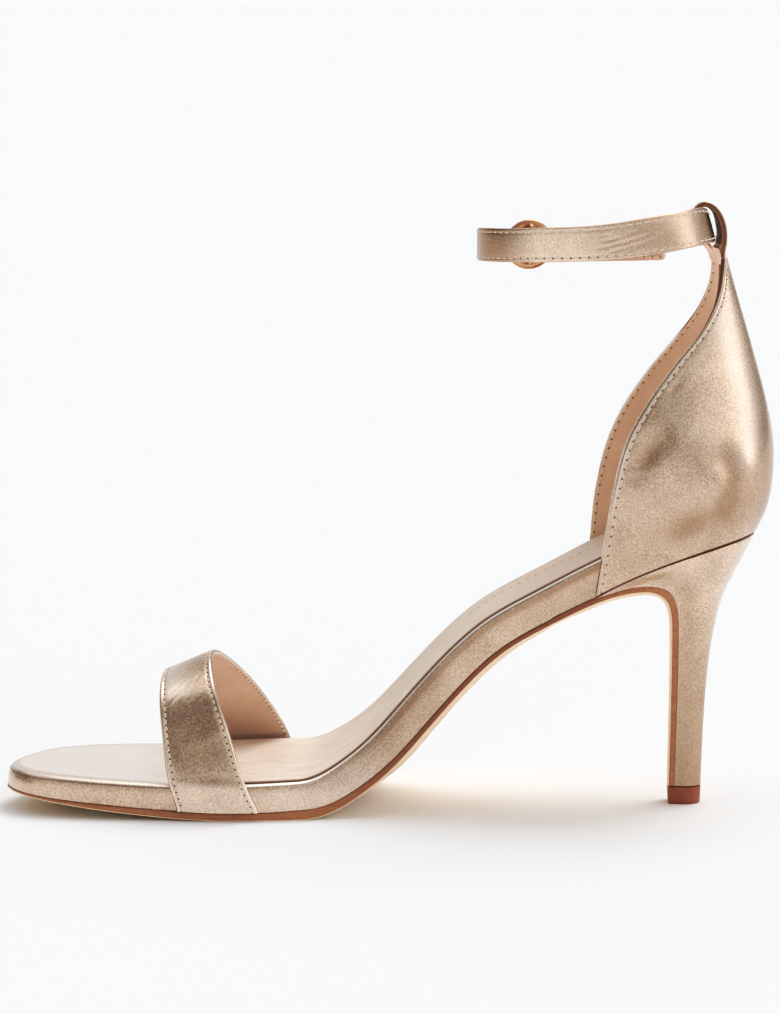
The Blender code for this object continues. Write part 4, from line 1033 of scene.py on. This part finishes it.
# a is the shoe's length and b the way up the band from its middle, in mm, on the inner side
strapCreases = tableOf(
    "a b turn long wide deep",
    (63.5, 0.7, 5, 2.8, 0.35, 0.18), (66.5, -0.5, 7, 3.4, 0.4, 0.24), (69.5, -1.7, 4, 2.8, 0.4, 0.21),
    (64.5, -2.5, 10, 2.2, 0.35, 0.18), (71.5, 0.3, 8, 2.2, 0.35, 0.17), (62, 2, 2, 1.8, 0.35, 0.09),
    (68.5, 1.8, 6, 2.4, 0.35, 0.11), (60.5, -1.4, 3, 1.8, 0.35, 0.09), (67.5, -2.9, 9, 1.8, 0.35, 0.11),
    (73, -1, 10, 1.6, 0.35, 0.08),
)
# painted shade on the inner side of the band, darkest at its two ends
strapShade = tableOf(
    "x shade",
    (26, 1), (33, 0.75), (42, 0), (52, 0), (58, 0.1), (66, 0.35), (73, 0.45), (78, 0.5),
    (82, 0.4), (86, 0.35), (89, 0.6), (92, 0.6),
)


def atBuckle(along, out, up):  # measured along the strap, outward and upward from the ring's centre
    ahead = unit(np.array([*buckle["along"], 0.0]))
    side = np.array([-ahead[1], ahead[0], 0.0])
    parts = [np.asarray(part, float)[..., None] for part in (along, out, up)]
    return np.array(buckle["centre"]) + parts[0] * ahead + parts[1] * side + parts[2] * [0.0, 0.0, 1.0]


# ankle strap: a band section carried from the chape round the ankle to the tail, leaning with its path
def makeStrap():
    parts = []
    for rows in (strapChape, strapRound, strapTail):
        spots = pick(rows, "x y z") if "x" in rows else atBuckle(*pick(rows, "along out up").T)
        parts.append(beside(spots, pick(rows, "lean width")))
    path = through(np.concatenate(parts), strap["rows"])
    centre, lean = path[:, :3], np.radians(path[:, 3:4])
    ahead = unit(np.gradient(centre, axis=0))
    out = unit(np.cross([0.0, 0.0, 1.0], ahead))
    up = np.cross(ahead, out)
    out, up = np.cos(lean) * out + np.sin(lean) * up, np.cos(lean) * up - np.sin(lean) * out
    run = lengths(centre)
    back = strap["thick"] / 2 + strap["chapeThick"] * np.clip((strap["chapeLength"] - run) / strap["chapeStep"], 0, 1)
    width = path[:, 4] - 2 * roundFall(run[-1] - run, strap["tipRound"])
    distance, fall = acrossSheet(width, np.full(len(path), strap["edge"]), strap)
    rise = distance - width[:, None] / 2
    near = np.minimum(distance, width[:, None] - distance)
    toInner = strap["innerFrom"] - centre[:, 1:2]
    innerSide = np.clip(toInner / strap["innerFade"], 0, 1) * np.clip(near / strap["creaseRim"], 0, 1)
    swell = strap["crown"] * (0.5 - (2 * rise / width[:, None]) ** 2)
    swell = swell + creases(strapCreases, centre[:, :1], rise) * innerSide
    swell = swell - bell(near, strap["groove"], strap["inset"], thread["groove"])
    sheets = []
    for depth in (strap["thick"] / 2 + swell - fall, fall - back[:, None]):
        sheets.append(centre[:, None] + depth[..., None] * out[:, None] + rise[..., None] * up[:, None])
    rings = bothFaces(*sheets)
    stitches = seamRows(strap, *sheets, -out[:, None] + np.zeros_like(sheets[0]), distance)[0]
    raw = np.where(fall > strap["rawFrom"] * strap["edge"], 1.0, 0.0)
    zero, half = np.zeros_like(rise), beside(0 * rise, 0 * rise + 1)
    shade = readAt(strapShade, "shade", centre[:, :1]) * (toInner > 0) + zero
    marks = dict(cut=bothFaces(raw, raw), lining=half, layer=half, shade=beside(shade, zero), rim=bothFaces(near, near),
                 run=run[:, None] + 0 * half)
    inside = dict(light=(0.85, 0.56, 0.4), deep=(0.74, 0.46, 0.31), dim=(0.5, 0.29, 0.19), roughness=0.5)
    edgeTan = (0.74, 0.48, 0.34)
    rawEdge = dict(light=edgeTan, deep=(0.6, 0.36, 0.23), line=(0.42, 0.22, 0.12), pale=edgeTan, palest=edgeTan,
                   joint=0.5, scored=0.0)
    # a lighter copy of the gold, as painted light
    look = dict(gold, light=(0.94, 0.74, 0.565), deep=(0.64, 0.455, 0.325))
    skin = leather("ankle_band_leather", look, inside, rawEdge, strap)
    makePiece("ankle_band", [shell(rings, **marks)], skin, "ankle_strap")
    return stitches


barRows = tableOf(
    "along out up",
    (0, 0, 5.4), (0, -1.8, 5.6), (0, -3.3, 5.3), (0, -3.95, 4.2), (0, -3.95, -4.2),
    (0, -3.3, -5.3), (0, -1.8, -5.6), (0, 0, -5.4),
)
prongRows = tableOf("along out up", (0.6, -0.1, 0), (-1.6, 0.2, 0), (-4.2, 1.6, 0), (-5.6, 1.85, 0), (-7.3, 1.75, 0))


def copperMaterial(name):
    material, spot = newMaterial(name)
    brushed = spot.noise(0.5, detail=3.0, stretch=(1.0, 1.0, 0.3))
    cloud = spot.noise(4.0)
    colour = cloud.step(0.3, 0.7).blend((0.52, 0.27, 0.145), (0.64, 0.36, 0.21))
    return finish(material, (brushed, 0.15, 0.03), Base_Color=colour, Roughness=0.22 + brushed * 0.12, Metallic=1.0)


# round bar: a circle carried along a path of points, drawn in to a round nose at both ends
def rod(path, radius, sides=20):
    ahead = unit(np.gradient(path, axis=0))
    first = unit(np.cross(ahead, np.cross(ahead, [0.31, 0.22, 0.93])))
    second = np.cross(ahead, first)
    far = lengths(path)
    near = np.clip(radius - np.minimum(far, far[-1] - far), 0, None)
    size = np.sqrt(np.maximum(radius**2 - near**2, 1e-4))[:, None, None]
    turn = circle(sides)[None, :, None]
    return shell(path[:, None] + size * (np.cos(turn) * first[:, None] + np.sin(turn) * second[:, None]))


# buckle: a ring of oval section round the centre, a bar bowed in under the strap, and the prong
def makeBuckle():
    turn, section = circle(buckle["ringSteps"])[:, None], circle(buckle["sectionSteps"])[None, :]
    radius = buckle["ring"] + buckle["radial"] * np.cos(section) + 0 * turn
    depth = buckle["depth"] * np.sin(section) + 0 * turn
    ring = shell(atBuckle(radius * np.cos(turn), depth, radius * np.sin(turn)), closeRows=True)
    rods = []
    for name, rows in (("bar", barRows), ("prong", prongRows)):
        line = through(pick(rows, "along out up"), buckle[name + "Points"])
        rods.append(rod(atBuckle(*line.T), buckle[name + "Radius"]))
    makePiece("copper_ring_buckle", [ring, rods[0]], copperMaterial("buckle_copper"), "buckle_frame")
    makePiece("copper_prong", rods[1:], copperMaterial("prong_copper"), "buckle_prong")


makeFootbed()
makeOutsole()
makeHeel()
makeTip()
makeBuckle()
threads = threadMaterial()
sewn = ("sock", makeSock), ("toe_band", makeVamp), ("heel_cup", makeCounter), ("ankle_band", makeStrap)
for seamName, maker in sewn:
    makePiece(seamName + "_stitches", maker(), threads, None)

studio = dict(strength=0.66, peak=7.6, floorTone=(0.949, 0.96, 0.972), floorSize=40.0, ceiling=1.65,
              lamp=7.5, lampWay=(0.33, 0.35, 0.877), warm=(1.0, 0.8, 0.66), warmBelow=0.7,
              upperFrom=(0.08, 0.28), highFrom=(0.5, 0.72), ceilingFrom=(0.88, 0.96), lampFrom=(0.93, 0.975))
# light by direction round the shoe: turn is 0 behind the camera, 90 at the heel's end, 180 behind the shoe
skyRows = tableOf(
    "turn horizon upper high",
    (-180, 1.25, 1.32, 1), (-165, 0.95, 1.1, 1), (-150, 0.6, 0.9, 1), (-122, 0.28, 0.34, 1.1),
    (-90, 0.36, 0.34, 1.1), (-60, 1.2, 0.45, 0.8), (-40, 1.3, 0.46, 0.5), (-20, 1.25, 0.46, 0.45),
    (-3, 1.05, 0.43, 0.47), (5, 1.05, 0.8, 0.52), (22, 0.97, 1.04, 0.62), (50, 0.92, 1.5, 0.75),
    (66, 1, 2.1, 0.85), (78, 2.6, 2.3, 0.85), (91, 2.6, 2, 0.85), (103, 1, 1.15, 0.8),
    (126, 0.62, 0.72, 0.75), (146, 0.5, 0.72, 0.8), (163, 0.6, 0.95, 0.95), (180, 1.25, 1.32, 1),
)


# studio light: rings of brightness at the horizon, above it and high up, then an even ceiling,
# eased into each other by height, and a round lamp over the heel
def makeStudio():
    world = bpy.data.worlds.new("studio_sky")
    world.use_nodes = True
    bpy.context.scene.world = world
    tree = world.node_tree
    spot = Wire(tree.nodes.new("ShaderNodeTexCoord").outputs["Generated"])
    x, y, z = [spot.node("ShaderNodeSeparateXYZ", {}, {"Vector": spot}, out=axis) for axis in range(3)]
    turn = spot.math("ARCTAN2", x, 0.0 - y) / (2 * math.pi) + 0.5
    rings = []
    for name in ("horizon", "upper", "high"):
        level = skyRows[name][:, None]
        tint = np.array(studio["warm"]) + (1 - np.array(studio["warm"])) * np.clip(level / studio["warmBelow"], 0, 1)
        stops = list(zip((skyRows["turn"] + 180) / 360, level * tint / studio["peak"]))
        rings.append(spot.node("ShaderNodeValToRGB", {"stops": stops}, {"Fac": turn}))
    toLamp = x * studio["lampWay"][0] + y * studio["lampWay"][1] + z * studio["lampWay"][2]
    ceiling, lamp = [(studio[name] / studio["peak"],) * 3 for name in ("ceiling", "lamp")]
    light = rings[0]
    steps = ((z, "upper", rings[1]), (z, "high", rings[2]), (z, "ceiling", ceiling), (toLamp, "lamp", lamp))
    for way, name, above in steps:
        light = way.step(*studio[name + "From"]).blend(light, above)
    background = tree.nodes["Background"]
    tree.links.new(light.socket, background.inputs["Color"])
    background.inputs["Strength"].default_value = studio["strength"] * studio["peak"]


def makeFloor():
    half = studio["floorSize"] / 2
    mesh = bpy.data.meshes.new("floor")
    corners = [(-half, -half, 0), (half, -half, 0), (half, half, 0), (-half, half, 0)]
    mesh.from_pydata(corners, [], [(0, 1, 2, 3)])
    floor = bpy.data.objects.new("floor", mesh)
    bpy.context.scene.collection.objects.link(floor)
    material, spot = newMaterial("pale_floor")
    tone = np.array(studio["floorTone"])
    paper = spot.noise(3.0)
    finish(material, Base_Color=paper.blend(tone, tone * 0.99), Roughness=0.95, Specular_IOR_Level=0.0)
    mesh.materials.append(material)


view = dict(azimuth=0.5, elevation=7.9, distance=1700.0, target=(0.0, 0.0, 86.4), lens=208.83)


def makeCamera():
    a, e = math.radians(view["azimuth"]), math.radians(view["elevation"])
    back = Vector((math.sin(a) * math.cos(e), -math.cos(a) * math.cos(e), math.sin(e)))
    camera = bpy.data.objects.new("camera", bpy.data.cameras.new("camera"))
    camera.location = Vector((np.array(view["target"]) + shift) * mm) + back * view["distance"] * mm
    camera.rotation_euler = (-back).to_track_quat("-Z", "Y").to_euler()
    camera.data.lens = view["lens"]
    camera.data.clip_end = 200.0
    bpy.context.scene.collection.objects.link(camera)
    bpy.context.scene.camera = camera


makeStudio()
makeFloor()
makeCamera()
settings = bpy.context.scene.view_settings
settings.view_transform = "Standard"
settings.use_curve_mapping = True
# soft contrast, as the photo was printed
toneRows = tableOf(
    "level printed",
    (0.06, 0.038), (0.12, 0.088), (0.2, 0.178), (0.3, 0.3), (0.45, 0.468), (0.6, 0.628), (0.75, 0.785), (0.9, 0.92),
)
for level, printed in pick(toneRows, "level printed"):
    settings.curve_mapping.curves[3].points.new(level, printed)
settings.curve_mapping.update()
print("scene ready")
